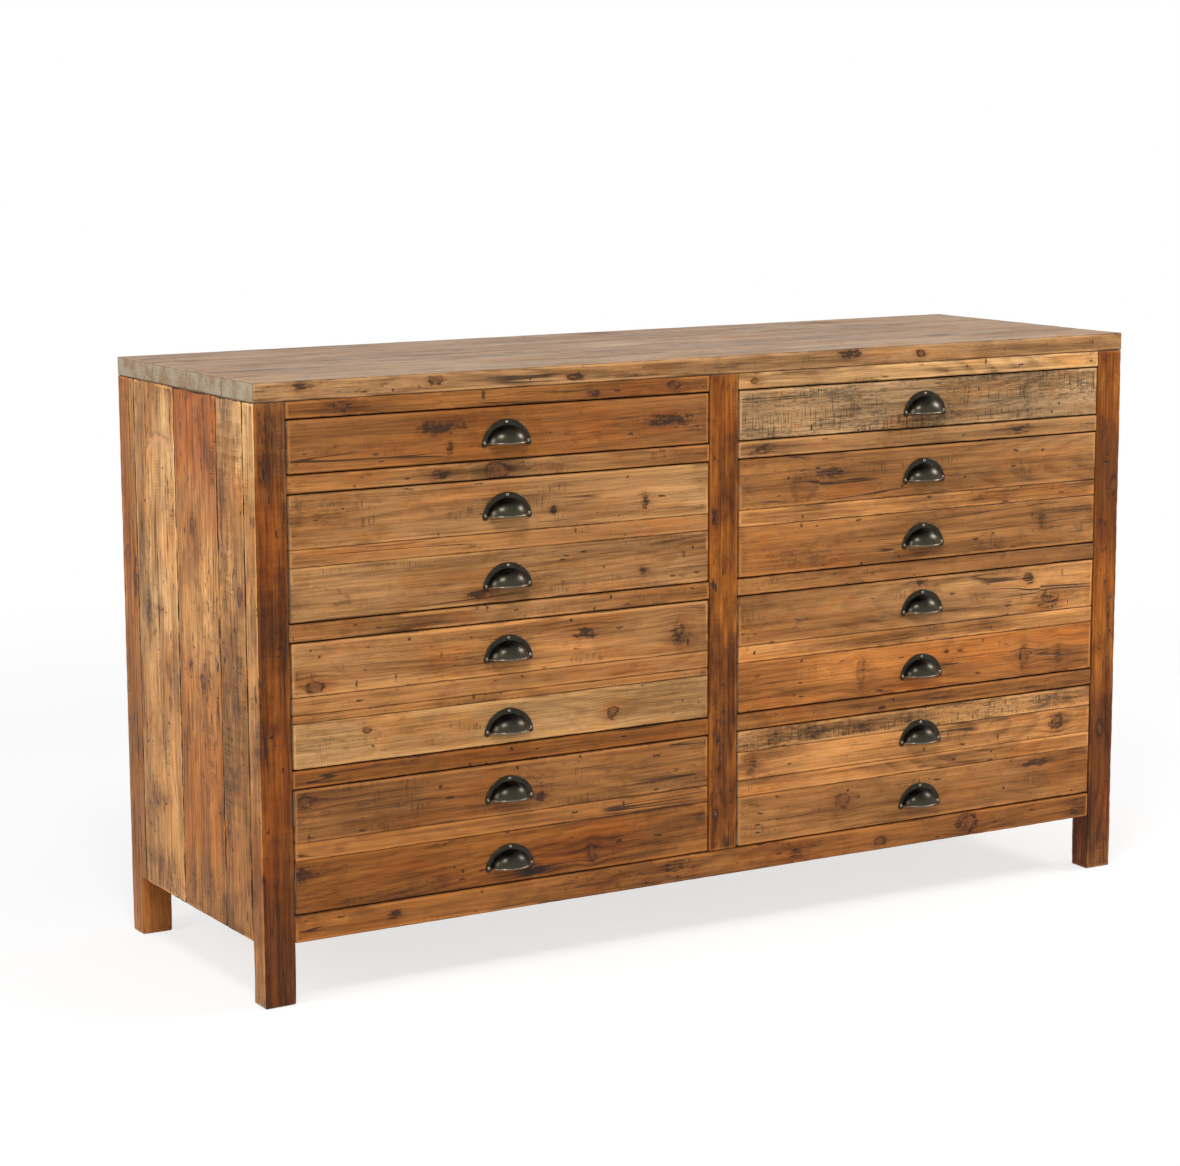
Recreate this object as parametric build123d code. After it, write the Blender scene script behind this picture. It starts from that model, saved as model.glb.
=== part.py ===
from build123d import *
import math
import os

# A free-standing apothecary chest of reclaimed pine boards, in millimetres.
# X runs along the width, Y from front to back and Z up. The origin is on the floor, under the middle of the
# chest with its pulls.

# Case
CASE_WIDTH = 1560.0
CASE_DEPTH = 495.0
TOP_THICKNESS = 28.0
FOOT_CLEARANCE = 91.0
POST_WIDTH = 49.0
POST_DEPTH = 40.0
STILE_WIDTH = 52.0
RAIL_THICKNESS = 30.0
RAIL_HEIGHT = 26.0
TOP_RAIL_HEIGHT = 25.0
BOTTOM_RAIL_HEIGHT = 40.0
SIDE_THICKNESS = 20.0
PARTITION_THICKNESS = 20.0

# Plank widths. Two equal planks fill each row between its back and front ones.
TOP_BACK_PLANK = 136.0
TOP_FRONT_PLANK = 107.0
SIDE_BACK_STRIP = 20.0
SIDE_FRONT_PLANK = 91.0

# Back and underside
BACK_THICKNESS = 12.0
BACK_BOARD_COUNT = 12
BACK_RAIL_THICKNESS = 22.0
BACK_RAIL_HEIGHT = 60.0
BOTTOM_PANEL_THICKNESS = 6.0
BOTTOM_PANEL_RISE = 7.0
PANEL_GROOVE_DEPTH = 6.0

# Joinery
TENON_LENGTH = 18.0
TENON_THICKNESS = 10.0
TENON_SHOULDER = 4.0
STUB_TENON_LENGTH = 8.0
TONGUE_LENGTH = 6.0
TONGUE_THICKNESS = 6.0
MORTISE_CLEARANCE = 0.2

# Drawer fronts
FRONT_GAP = 2.0
FRONT_THICKNESS = 20.0
SINGLE_HEIGHT = 76.0
BOARD_HEIGHT = 78.0
STRIP_HEIGHT = 26.0
THIN_STRIP_HEIGHT = 12.0
SPLIT_BOARD_HEIGHT = 33.0
EDGE_EASE = 1.0

# Drawer boxes
BOX_SIDE_GAP = 2.0
BOX_THICKNESS = 14.0
BOX_TOP_DROP = 12.0
BOX_REBATE = 6.0
DRAWER_BOTTOM_THICKNESS = 6.0
DRAWER_BOTTOM_RISE = 8.0
DRAWER_GROOVE_DEPTH = 6.0

# Runners, stops and cleats
RUNNER_HEIGHT = 22.0
GUIDE_HEIGHT = 22.0
STOP_LENGTH = 15.0
STOP_HEIGHT = 20.0

# Cup pulls
PULL_WIDTH = 83.0
PULL_HEIGHT = 40.0
PULL_PROJECTION = 25.0
PULL_WALL = 2.0
FLANGE_WIDTH = 9.0
FLANGE_THICKNESS = 1.6
LIP_HEIGHT = 2.0
LIP_WIDTH = 1.0

# Pins and screws
PIN_RADIUS = 1.1
PIN_HEAD_RADIUS = 2.6
PIN_HEAD_HEIGHT = 1.4
PIN_BITE = 12.0
PIN_RISE = 7.0
SCREW_RADIUS = 2.0
SCREW_HEAD_RADIUS = 4.0
SCREW_HEAD_HEIGHT = 2.5
SCREW_BITE = 14.0
HOLE_CLEARANCE = 0.1

# Each drawer front from its top down: the heights of its boards, and whether a pull sits in their middle.
single_front = [((SINGLE_HEIGHT,), True)]
double_front = [((BOARD_HEIGHT,), True), ((STRIP_HEIGHT,), False), ((BOARD_HEIGHT,), True)]
thin_strip_front = [
    ((BOARD_HEIGHT,), True),
    ((STRIP_HEIGHT, THIN_STRIP_HEIGHT), False),
    ((BOARD_HEIGHT - THIN_STRIP_HEIGHT,), True),
]
split_board_front = [
    ((SPLIT_BOARD_HEIGHT, BOARD_HEIGHT - SPLIT_BOARD_HEIGHT), True),
    ((STRIP_HEIGHT,), False),
    ((BOARD_HEIGHT,), True),
]
drawer_fronts = {
    "left": [single_front, double_front, thin_strip_front, double_front],
    "right": [single_front, double_front, double_front, split_board_front],
}

# Widths, with the left column as the pattern for both
column_width = (CASE_WIDTH - 2 * POST_WIDTH - STILE_WIDTH) / 2
column_pitch = column_width + STILE_WIDTH
column_middle = {"left": -column_pitch / 2, "right": column_pitch / 2}
left_x = -CASE_WIDTH / 2
post_x = (left_x, left_x + POST_WIDTH)
side_inner_x = left_x + SIDE_THICKNESS
stile_x = (-STILE_WIDTH / 2, STILE_WIDTH / 2)
partition_x = (-PARTITION_THICKNESS / 2, PARTITION_THICKNESS / 2)
ledge_width = BOX_SIDE_GAP + BOX_THICKNESS

# Depths
front_y = (PULL_PROJECTION - CASE_DEPTH) / 2
back_y = front_y + CASE_DEPTH
front_post_y = (front_y, front_y + POST_DEPTH)
back_post_y = (back_y - POST_DEPTH, back_y)
rail_y = (front_y, front_y + RAIL_THICKNESS)
back_board_y = (back_y - BACK_THICKNESS, back_y)
back_rail_y = (back_board_y[0] - BACK_RAIL_THICKNESS, back_board_y[0])
between_posts_y = (front_post_y[1], back_post_y[0])
between_rails_y = (rail_y[1], back_rail_y[0])
box_y = (front_y + FRONT_THICKNESS, back_post_y[0] - STOP_LENGTH)

# Heights. Drawers count from the top, and each stands in an opening with a gap above and below its front.
bottom_rail_z = (FOOT_CLEARANCE, FOOT_CLEARANCE + BOTTOM_RAIL_HEIGHT)
front_heights = [sum(sum(heights) for heights, pull in front) for front in drawer_fronts["left"]]
opening_floors = []
level = bottom_rail_z[1]
for front_height in reversed(front_heights):
    opening_floors.insert(0, level)
    level += front_height + 2 * FRONT_GAP + RAIL_HEIGHT
under_top = level - RAIL_HEIGHT + TOP_RAIL_HEIGHT
drawer_rail_levels = [(floor - RAIL_HEIGHT, floor) for floor in opening_floors[:-1]]
top_rail_z = (under_top - TOP_RAIL_HEIGHT, under_top)
back_rail_levels = [bottom_rail_z, (under_top - BACK_RAIL_HEIGHT, under_top)]
ledge_levels = [floor + FRONT_GAP for floor in opening_floors]
cross_rail_z = (FOOT_CLEARANCE, ledge_levels[-1] - RUNNER_HEIGHT)
bottom_panel_z = (FOOT_CLEARANCE + BOTTOM_PANEL_RISE, FOOT_CLEARANCE + BOTTOM_PANEL_RISE + BOTTOM_PANEL_THICKNESS)
boarded_z = (FOOT_CLEARANCE, under_top)


def block(x, y, z):
    """A square-edged block between two limits along each axis."""
    limits = [sorted(pair) for pair in (x, y, z)]
    sizes = [high - low for low, high in limits]
    middles = [(high + low) / 2 for low, high in limits]
    return Pos(*middles) * Box(*sizes)


def rod(x, y, z, radius):
    """A round rod along the one axis whose limits are a pair."""
    if isinstance(y, tuple):
        return Pos(x, sum(y) / 2, z) * Rot(90, 0, 0) * Cylinder(radius, y[1] - y[0])
    return Pos(x, y, sum(z) / 2) * Cylinder(radius, z[1] - z[0])


def about(middle, half):
    """The limits of a length with a known middle."""
    return (middle - half, middle + half)


def mirrored(shape):
    """The right hand's copy of a piece made for the left."""
    return mirror(shape, about=Plane.YZ)


def plank_row(back, front, total):
    """Plank widths from back to front, with two equal planks in the middle."""
    middle = (total - back - front) / 2
    return [back, middle, middle, front]


def shared_middle(first, second):
    """The middle of the length that two limits share."""
    return (max(first[0], second[0]) + min(first[1], second[1])) / 2


# Joinery


def tenon(shoulder, way, y, z, slack=0.0):
    """A rail's tenon along X, or with slack the mortise that takes it."""
    return block(
        (shoulder, shoulder + way * (TENON_LENGTH + slack)),
        about(sum(y) / 2, TENON_THICKNESS / 2),
        (z[0] + TENON_SHOULDER, z[1] - TENON_SHOULDER),
    )


def rail(x, y, z):
    """A rail along X with a tenon at each end."""
    return block(x, y, z) + tenon(x[0], -1, y, z) + tenon(x[1], 1, y, z)


def cross_tenon(shoulder, way, slack=0.0):
    """The stub tenon of the left cross rail along Y, against the side planks, or with slack its mortise."""
    return block(
        (side_inner_x, side_inner_x + TENON_THICKNESS),
        (shoulder, shoulder + way * (STUB_TENON_LENGTH + slack)),
        (cross_rail_z[0] + TENON_SHOULDER, cross_rail_z[1] - TENON_SHOULDER),
    )


def stile_tenon(slack=0.0):
    """The stub tenon under the centre stile, or with slack its mortise in the bottom rail."""
    return block(
        (stile_x[0] + TENON_SHOULDER, stile_x[1] - TENON_SHOULDER),
        about(sum(rail_y) / 2, TENON_THICKNESS / 2),
        (bottom_rail_z[1] - STUB_TENON_LENGTH - slack, bottom_rail_z[1]),
    )


def tongue(edge, way, thickness, length, slack=0.0):
    """A tongue along a board's edge, or with slack the groove that takes it, for a board upright in X and Z."""
    return block(
        (edge, edge + way * (TONGUE_LENGTH + slack)),
        about(thickness / 2, TONGUE_THICKNESS / 2),
        (0, length),
    )


def matched_boards(widths, thickness, length, end_tongues=False):
    """Boards side by side along X, each with a tongue in the groove of the board before it."""
    boards = []
    left = 0.0
    for number, width in enumerate(widths):
        right = left + width
        last = number == len(widths) - 1
        board = block((left, right), (0, thickness), (0, length))
        if number > 0 or end_tongues:
            board += tongue(left, -1, thickness, length)
        if not last:
            board -= tongue(right, -1, thickness, length, MORTISE_CLEARANCE)
        elif end_tongues:
            board += tongue(right, 1, thickness, length)
        boards.append(board)
        left = right
    return boards


# Case


side_height = boarded_z[1] - boarded_z[0]
side_place = Pos(left_x, back_post_y[0], boarded_z[0]) * Rot(0, 0, -90)


def side_groove(edge, way):
    """The groove in a left post for the side planks' tongue. The edge counts forward from the back post."""
    return side_place * tongue(edge, way, SIDE_THICKNESS, side_height, MORTISE_CLEARANCE)


side_row_width = between_posts_y[1] - between_posts_y[0]


def front_post():
    """The left front post, with mortises for the front rails and the cross rail."""
    post = block(post_x, front_post_y, (0, under_top))
    for z in (bottom_rail_z, top_rail_z, *drawer_rail_levels):
        post -= tenon(post_x[1], -1, rail_y, z, MORTISE_CLEARANCE)
    post -= cross_tenon(front_post_y[1], -1, MORTISE_CLEARANCE)
    return post - side_groove(side_row_width, 1)


def back_post():
    """The left back post, with mortises for the back rails and the cross rail."""
    post = block(post_x, back_post_y, (0, under_top))
    for z in back_rail_levels:
        post -= tenon(post_x[1], -1, back_rail_y, z, MORTISE_CLEARANCE)
    post -= cross_tenon(back_post_y[0], 1, MORTISE_CLEARANCE)
    return post - side_groove(0, -1)


def side_planks():
    """The left side's upright planks, from the back post to the front post."""
    widths = plank_row(SIDE_BACK_STRIP, SIDE_FRONT_PLANK, side_row_width)
    return [side_place * board for board in matched_boards(widths, SIDE_THICKNESS, side_height, True)]


def centre_stile():
    """The upright between the two columns, with mortises for the rails on both sides."""
    stile = block(stile_x, rail_y, (bottom_rail_z[1], under_top)) + stile_tenon()
    for z in (top_rail_z, *drawer_rail_levels):
        stile -= tenon(stile_x[0], 1, rail_y, z, MORTISE_CLEARANCE)
        stile -= tenon(stile_x[1], -1, rail_y, z, MORTISE_CLEARANCE)
    return stile


def panel_groove(face, way):
    """The groove in the bottom rail or the lower back rail that holds the bottom panels."""
    return block((post_x[1], -post_x[1]), (face, face + way * PANEL_GROOVE_DEPTH), bottom_panel_z)


def bottom_rail():
    """The rail under the lowest drawers, which carries the stile."""
    body = rail((post_x[1], -post_x[1]), rail_y, bottom_rail_z)
    return body - stile_tenon(MORTISE_CLEARANCE) - panel_groove(rail_y[1], -1)


def back_rails():
    """The two rails that the back boards are fixed to."""
    lower, upper = [rail((post_x[1], -post_x[1]), back_rail_y, z) for z in back_rail_levels]
    return [lower - panel_groove(back_rail_y[0], 1), upper]


def back_boards():
    """The upright boards that close the back, between the posts."""
    width = -2 * post_x[1] / BACK_BOARD_COUNT
    boards = matched_boards([width] * BACK_BOARD_COUNT, BACK_THICKNESS, side_height)
    return [Pos(post_x[1], back_board_y[0], boarded_z[0]) * board for board in boards]


def cross_rails():
    """The rails from front to back at the foot of the case: one at each side and one under the partition."""
    left = block((side_inner_x, post_x[1]), between_posts_y, cross_rail_z)
    left += cross_tenon(between_posts_y[0], -1)
    left += cross_tenon(between_posts_y[1], 1)
    return [left, block(stile_x, between_rails_y, cross_rail_z), mirrored(left)]


def bottom_panels():
    """The thin panels that close the case underneath, in grooves at the front and back."""
    y = (between_rails_y[0] - PANEL_GROOVE_DEPTH, between_rails_y[1] + PANEL_GROOVE_DEPTH)
    left = block((post_x[1], stile_x[0]), y, bottom_panel_z)
    return [left, mirrored(left)]


# Runners


def runner(wall, guide, ledge, level):
    """An L-shaped runner: a ledge that bears the drawer and a guide beside it."""
    bearing = block((wall, ledge), between_posts_y, (level - RUNNER_HEIGHT, level))
    return bearing + block((wall, guide), between_posts_y, (level, level + GUIDE_HEIGHT))


outer_ledge = (post_x[1], post_x[1] + ledge_width)
inner_ledge = (stile_x[0], stile_x[0] - ledge_width)


def left_runners():
    """The runners of the left column, on the side planks and on the partition."""
    outer = [runner(side_inner_x, *outer_ledge, level) for level in ledge_levels]
    return outer + [runner(partition_x[0], *inner_ledge, level) for level in ledge_levels]


def left_stops():
    """The blocks at the back of the left column's ledges that the closed drawers meet."""
    y = (box_y[1], between_posts_y[1])
    return [
        block(ledge, y, (level, level + STOP_HEIGHT))
        for level in ledge_levels
        for ledge in (outer_ledge, inner_ledge)
    ]


# Top


top_plank_widths = plank_row(TOP_BACK_PLANK, TOP_FRONT_PLANK, CASE_DEPTH)
top_plank_spans = []
plank_back = back_y
for plank_width in top_plank_widths:
    top_plank_spans.append((plank_back - plank_width, plank_back))
    plank_back -= plank_width
left_cleat_spans = [
    ((side_inner_x, outer_ledge[1]), between_posts_y),
    ((inner_ledge[1], partition_x[0]), between_rails_y),
]
left_screw_places = [
    (sum(x) / 2, shared_middle(cleat, plank)) for x, cleat in left_cleat_spans for plank in top_plank_spans
]
screw_places = left_screw_places + [(-x, y) for x, y in left_screw_places]


def top_planks():
    """The planks of the top, laid lengthwise, with blind holes for the screws."""
    place = Plane((-left_x, back_y, under_top), x_dir=(0, -1, 0), z_dir=(-1, 0, 0)).location
    planks = [place * board for board in matched_boards(top_plank_widths, TOP_THICKNESS, CASE_WIDTH)]
    depth = (under_top, under_top + SCREW_BITE + HOLE_CLEARANCE)
    holes = [rod(x, y, depth, SCREW_RADIUS + HOLE_CLEARANCE) for x, y in screw_places]
    return [plank - holes for plank in planks]


def left_cleats():
    """The cleats under the top in the left column, drilled for the screws."""
    holes = [rod(x, y, top_rail_z, SCREW_RADIUS + HOLE_CLEARANCE) for x, y in left_screw_places]
    return [block(x, y, top_rail_z) - holes for x, y in left_cleat_spans]


def top_screws():
    """The screws that go up through the cleats into the top planks."""
    shank = (top_rail_z[0], under_top + SCREW_BITE)
    head = (top_rail_z[0] - SCREW_HEAD_HEIGHT, top_rail_z[0])
    return [rod(x, y, shank, SCREW_RADIUS) + rod(x, y, head, SCREW_HEAD_RADIUS) for x, y in screw_places]


# Cup pulls


def cup_form(half_width, height, projection):
    """The rounded form of a cup: an ellipse turned about an axis along X that lies behind the drawer's face.

    At the face it is as wide and high as given, and at its lower edge it stands out by the projection.
    """
    radius = (height**2 + projection**2) / (2 * projection)
    behind = radius - projection
    half_length = half_width / math.sqrt(1 - (behind / radius) ** 2)
    outline = Ellipse(half_length, radius)
    upper_half = outline & Pos(0, radius / 2) * Rectangle(2 * half_length, radius)
    return Pos(0, behind, 0) * revolve(upper_half, Axis.X, 360)


flange_middle = FLANGE_WIDTH / 2
flange_side = (PULL_WIDTH / 2 - flange_middle) * math.sqrt(1 - (PIN_RISE / (PULL_HEIGHT - flange_middle)) ** 2)
pin_places = [(0, PULL_HEIGHT - flange_middle), (-flange_side, PIN_RISE), (flange_side, PIN_RISE)]


def cup_pull():
    """A cup pull, open below, with its lower edge on the origin and its back on the drawer's face."""
    half_width = PULL_WIDTH / 2 - FLANGE_WIDTH
    height = PULL_HEIGHT - FLANGE_WIDTH
    projection = PULL_PROJECTION - LIP_WIDTH
    room = block((-PULL_WIDTH, PULL_WIDTH), (-PULL_PROJECTION, 0), (0, PULL_HEIGHT))
    lip_room = block((-PULL_WIDTH, PULL_WIDTH), (-PULL_PROJECTION, 0), (0, LIP_HEIGHT))
    flange = extrude(Plane.XZ * Ellipse(PULL_WIDTH / 2, PULL_HEIGHT), FLANGE_THICKNESS) & room
    cup = cup_form(half_width, height, projection) & room
    lip = cup_form(half_width + LIP_WIDTH, height + LIP_WIDTH, PULL_PROJECTION) & lip_room
    hollow = cup_form(half_width - PULL_WALL, height - PULL_WALL, projection - PULL_WALL)
    pull = flange + cup + lip - hollow
    for x, z in pin_places:
        pull -= rod(x, (-FLANGE_THICKNESS, 0), z, PIN_RADIUS + HOLE_CLEARANCE)
    return pull


def pin():
    """A round-headed pin along Y, with its head's underside at the flange's face."""
    ball = (PIN_HEAD_RADIUS**2 + PIN_HEAD_HEIGHT**2) / (2 * PIN_HEAD_HEIGHT)
    cap_room = block(about(0, ball), (-PIN_HEAD_HEIGHT, 0), about(0, ball))
    cap = Pos(0, ball - PIN_HEAD_HEIGHT, 0) * Sphere(ball) & cap_room
    return Pos(0, -FLANGE_THICKNESS, 0) * cap + rod(0, (-FLANGE_THICKNESS, PIN_BITE), 0, PIN_RADIUS)


# Drawers


def eased(board):
    """A front board with the edges round its face eased."""
    return chamfer(board.faces().sort_by(Axis.Y)[0].edges(), EDGE_EASE)


def front_layout(front, top):
    """The limits in height of a front's boards, and the heights of its pulls' lower edges."""
    boards, pulls = [], []
    for heights, has_pull in front:
        if has_pull:
            pulls.append(top - sum(heights) / 2 - PULL_HEIGHT / 2)
        for height in heights:
            boards.append((top - height, top))
            top -= height
    return boards, pulls


def front_boards(middle, boards, pulls):
    """The boards of a drawer's front, with holes for the pulls' pins."""
    x = about(middle, column_width / 2 - FRONT_GAP)
    depth = (front_y, front_y + PIN_BITE + HOLE_CLEARANCE)
    holes = [
        rod(middle + across, depth, pull + up, PIN_RADIUS + HOLE_CLEARANCE)
        for pull in pulls
        for across, up in pin_places
    ]
    return [eased(block(x, (front_y, box_y[0]), z)) - holes for z in boards]


def drawer_box(middle, z):
    """The two sides, inner front and back of a drawer, and the bottom that slides into their grooves."""
    outer = column_width / 2 - BOX_SIDE_GAP
    inner = outer - BOX_THICKNESS
    bottom_z = (z[0] + DRAWER_BOTTOM_RISE, z[0] + DRAWER_BOTTOM_RISE + DRAWER_BOTTOM_THICKNESS)
    inner_front_y = (box_y[0], box_y[0] + BOX_THICKNESS)
    inner_back_y = (box_y[1] - BOX_THICKNESS, box_y[1])

    ends_x = about(middle, inner + BOX_REBATE)
    groove_y = (inner_front_y[1] - DRAWER_GROOVE_DEPTH, inner_front_y[1])
    inner_front = block(ends_x, inner_front_y, z) - block(ends_x, groove_y, bottom_z)
    inner_back = block(ends_x, inner_back_y, (bottom_z[1], z[1]))

    sides = []
    for hand in (-1, 1):
        side = block((middle + hand * inner, middle + hand * outer), box_y, z)
        rebate_x = (middle + hand * inner, middle + hand * (inner + BOX_REBATE))
        groove_x = (middle + hand * inner, middle + hand * (inner + DRAWER_GROOVE_DEPTH))
        side -= block(rebate_x, inner_front_y, z)
        side -= block(rebate_x, inner_back_y, (bottom_z[1], z[1]))
        side -= block(groove_x, box_y, bottom_z)
        sides.append(side)

    bottom = block(about(middle, inner + DRAWER_GROOVE_DEPTH), (groove_y[0], box_y[1]), bottom_z)
    return [*sides, inner_front, inner_back], bottom


def save(name, *pieces):
    """Writes the pieces of one node, each as its own solid."""
    solids = [solid for piece in pieces for solid in piece.solids()]
    export_step(Compound(solids), f"parts/{name}.step")


os.makedirs("parts", exist_ok=True)

save("post_front_left", front_post())
save("post_front_right", mirrored(front_post()))
save("post_back_left", back_post())
save("post_back_right", mirrored(back_post()))
save("side_planks_left", *side_planks())
save("side_planks_right", *[mirrored(plank) for plank in side_planks()])
save("centre_stile", centre_stile())
save("centre_partition", block(partition_x, between_rails_y, (cross_rail_z[1], under_top)))
save("bottom_rail", bottom_rail())
save("back_rails", *back_rails())
save("back_boards", *back_boards())
save("cross_rails", *cross_rails())
save("bottom_panels", *bottom_panels())
save("top_planks", *top_planks())
save("top_screws", *top_screws())

left_top_rail = rail((post_x[1], stile_x[0]), rail_y, top_rail_z)
left_drawer_rails = [rail((post_x[1], stile_x[0]), rail_y, z) for z in drawer_rail_levels]
save("top_rails", left_top_rail, mirrored(left_top_rail))
save("drawer_rails", *left_drawer_rails, *[mirrored(piece) for piece in left_drawer_rails])
save("top_cleats", *left_cleats(), *[mirrored(piece) for piece in left_cleats()])
save("drawer_runners", *left_runners(), *[mirrored(piece) for piece in left_runners()])
save("drawer_stops", *left_stops(), *[mirrored(piece) for piece in left_stops()])

for column, fronts in drawer_fronts.items():
    middle = column_middle[column]
    for number, front in enumerate(fronts):
        name = f"drawer_{column}_{number + 1}"
        base = ledge_levels[number]
        height = front_heights[number]
        boards, pulls = front_layout(front, base + height)
        box, bottom = drawer_box(middle, (base, base + height - BOX_TOP_DROP))
        places = [Pos(middle, front_y, pull) for pull in pulls]
        save(f"{name}_front", *front_boards(middle, boards, pulls))
        save(f"{name}_box", *box)
        save(f"{name}_bottom", bottom)
        save(f"{name}_pulls", *[place * cup_pull() for place in places])
        save(f"{name}_pull_pins", *[place * Pos(x, 0, z) * pin() for place in places for x, z in pin_places])
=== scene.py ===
import itertools
import math
from collections import defaultdict
from dataclasses import dataclass
from functools import partialmethod, reduce
from types import SimpleNamespace

import bpy
import bmesh
import numpy as np
from mathutils import Matrix, Vector


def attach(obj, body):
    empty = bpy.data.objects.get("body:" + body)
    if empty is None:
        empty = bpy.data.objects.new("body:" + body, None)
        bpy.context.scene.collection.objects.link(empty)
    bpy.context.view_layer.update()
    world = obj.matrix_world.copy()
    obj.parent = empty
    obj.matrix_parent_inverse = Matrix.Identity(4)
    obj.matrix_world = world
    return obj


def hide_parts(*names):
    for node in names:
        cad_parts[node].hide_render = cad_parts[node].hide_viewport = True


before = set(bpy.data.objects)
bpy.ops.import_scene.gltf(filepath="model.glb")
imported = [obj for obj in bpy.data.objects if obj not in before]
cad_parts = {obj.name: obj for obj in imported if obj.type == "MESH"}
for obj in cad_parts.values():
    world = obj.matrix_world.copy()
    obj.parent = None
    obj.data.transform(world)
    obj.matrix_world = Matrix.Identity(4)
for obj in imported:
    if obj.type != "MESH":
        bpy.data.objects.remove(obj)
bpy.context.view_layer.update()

# An apothecary chest of reclaimed pine, dressed board by board. Metres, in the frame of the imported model.

MILLIMETRE = 0.001
X, Y, Z = 0, 1, 2
COLUMNS = {"left": -1, "right": 1}
DRAWERS_PER_COLUMN = 4

# Camera, from the photograph's own perspective
CAMERA_PLACE = (-2.51483, -4.07493, 1.31123)
CAMERA_YAW = 0.53522
CAMERA_PITCH = -0.16398
CAMERA_ROLL = -0.00385
CAMERA_LENS = 92.557
CAMERA_SENSOR = 36.0

# Boards
FINE_STEP = 0.008
PLAIN_WEAR = {"rounding": 0.0008, "step": 0.03, "waviness": 0.0001}
CASE_ROUNDING = 0.0022
BOTTOM_RAIL_ROUNDING = 0.002
RAIL_ROUNDING = 0.0016
SIDE_JOINT = 2.0

# Figure of the wood
RING_SPACING = 0.0068
END_RING_SPACING = 0.0055
TOOTH_SPACING = 0.0048
PLY_SPACING = 0.004

# Cup pulls
FLANGE_WIDTH = 0.009
FLANGE_THICKNESS = 0.0016
PULL_WALL = 0.002
LIP_HEIGHT = 0.002
LIP_WIDTH = 0.001
LIP_RISE = 0.005
EAR_STEPS = 14
DOME_STEPS = 73
PIN_HEAD_HEIGHT = 0.0014
PIN_SHANK_SHARE = 0.42
PIN_SIDES = 24

# How much of the pulls' metal hands have rubbed. On the dome and lip it also paints light: painted shade near
# the flange, a painted reflection lower on the dome and a painted highlight along the lip
INSIDE_RUBBED = 0.1
LIP_RUBBED_AND_HIGHLIGHT = 1.0
DOME_RUBBED_AND_SHEEN = 0.75
FLANGE_RUBBED = 0.48

# Studio: each lamp's place, width, height and power
FLOOR_RADIUS = 3.2
FLOOR_GLOW = 0.7
AMBIENT_LIGHT = 0.55
CHEST_MIDDLE = (0, 0, 0.45)
LAMPS = {
    "left_softbox": ((-3.2, -0.6, 1.8), 0.8, 1.4, 34),
    "front_softbox": ((-1.6, -2.0, 3.4), 0.9, 0.9, 73),
    "right_softbox": ((2.72, -0.78, 2.25), 1.1, 0.8, 54),
}


# Woods


@dataclass(frozen=True)
class Wood:
    """One kind of old board: its colour, how grey, saw-marked and stained it is, and its figure.

    The figure is the contrast of its streaks. The shortness is how much shorter than usual they are.
    """

    colour: tuple
    grey: float
    sawn: float
    stained: float
    figure: float = 1.0
    shortness: float = 1.0


WOODS = {
    "walnut": Wood((133, 85, 42), 0.15, 0.45, 0.60),
    "umber": Wood((127, 75, 27), 0.05, 0.30, 0.65, 1.2),
    "chestnut": Wood((152, 101, 52), 0.15, 0.40, 0.65),
    "rust": Wood((153, 98, 47), 0.05, 0.30, 0.60),
    "honey": Wood((159, 113, 67), 0.20, 0.40, 0.55),
    "tan": Wood((167, 124, 76), 0.25, 0.25, 0.45),
    "sienna": Wood((143, 89, 39), 0.10, 0.30, 0.75, 1.1),
    "paprika": Wood((164, 102, 46), 0.05, 0.30, 0.60, 1.1),
    "amber": Wood((150, 101, 55), 0.05, 0.20, 0.45, 1.1),
    "gold": Wood((178, 121, 66), 0.05, 0.25, 0.50, 1.2),
    "straw": Wood((197, 151, 99), 0.10, 0.20, 0.40, 1.2),
    "cream": Wood((205, 159, 104), 0.10, 0.20, 1.00, 0.7, 1.3),
    "wheat": Wood((179, 127, 71), 0.20, 0.45, 1.30, 1.0, 1.3),
    "copper": Wood((158, 95, 31), 0.10, 0.45, 1.30, 1.0, 1.3),
    "brick": Wood((156, 88, 29), 0.05, 0.55, 1.30, 1.0, 1.3),
    "cinnamon": Wood((156, 102, 44), 0.35, 0.50, 1.30, 1.1, 1.3),
    "olive": Wood((118, 78, 33), 0.55, 0.70, 1.30, 1.1, 1.3),
    "russet": Wood((117, 62, 13), 0.05, 0.20, 1.60, 1.5),
    "bark": Wood((91, 46, 8), 0.15, 0.20, 1.60, 1.5),
    "ember": Wood((142, 81, 21), 0.05, 0.20, 1.60, 1.5),
    "driftwood": Wood((172, 134, 92), 1.00, 1.00, 0.40),
    "soot": Wood((182, 130, 76), 1.00, 1.00, 0.80),
    "biscuit": Wood((161, 119, 77), 0.20, 0.25, 0.50, 1.2),
    "ash": Wood((143, 114, 85), 0.35, 0.20, 0.45, 0.8),
    "new_pine": Wood((196, 160, 112), 0.00, 0.00, 0.05),
    "birch": Wood((203, 172, 128), 0.00, 0.00, 0.00),
}


def woods_named(names):
    """The woods with these names, written in one line, from a board's low end to its high end."""
    return tuple(WOODS[name] for name in names.split())


@dataclass(frozen=True)
class Knot:
    """A knot: its place along and across its board from the low corner and its radius, in millimetres.

    Its length is in radii, along the grain. The strength is how dark it is. A charred one is a cluster of
    dark strokes, and a scar is a pale arch of the knot's size.
    """

    along: float
    across: float
    radius: float
    length: float = 1.6
    strength: float = 1.0
    charred: float = 0.0
    on_edge: bool = False
    scar: bool = False


def burn(*numbers, **kind):
    """A charred knot, with the numbers of any other."""
    return Knot(*numbers, charred=1.0, **kind)


# Looks of the boards: the names of a board's woods alone, which leaves its knots to chance, or with its knots

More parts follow.
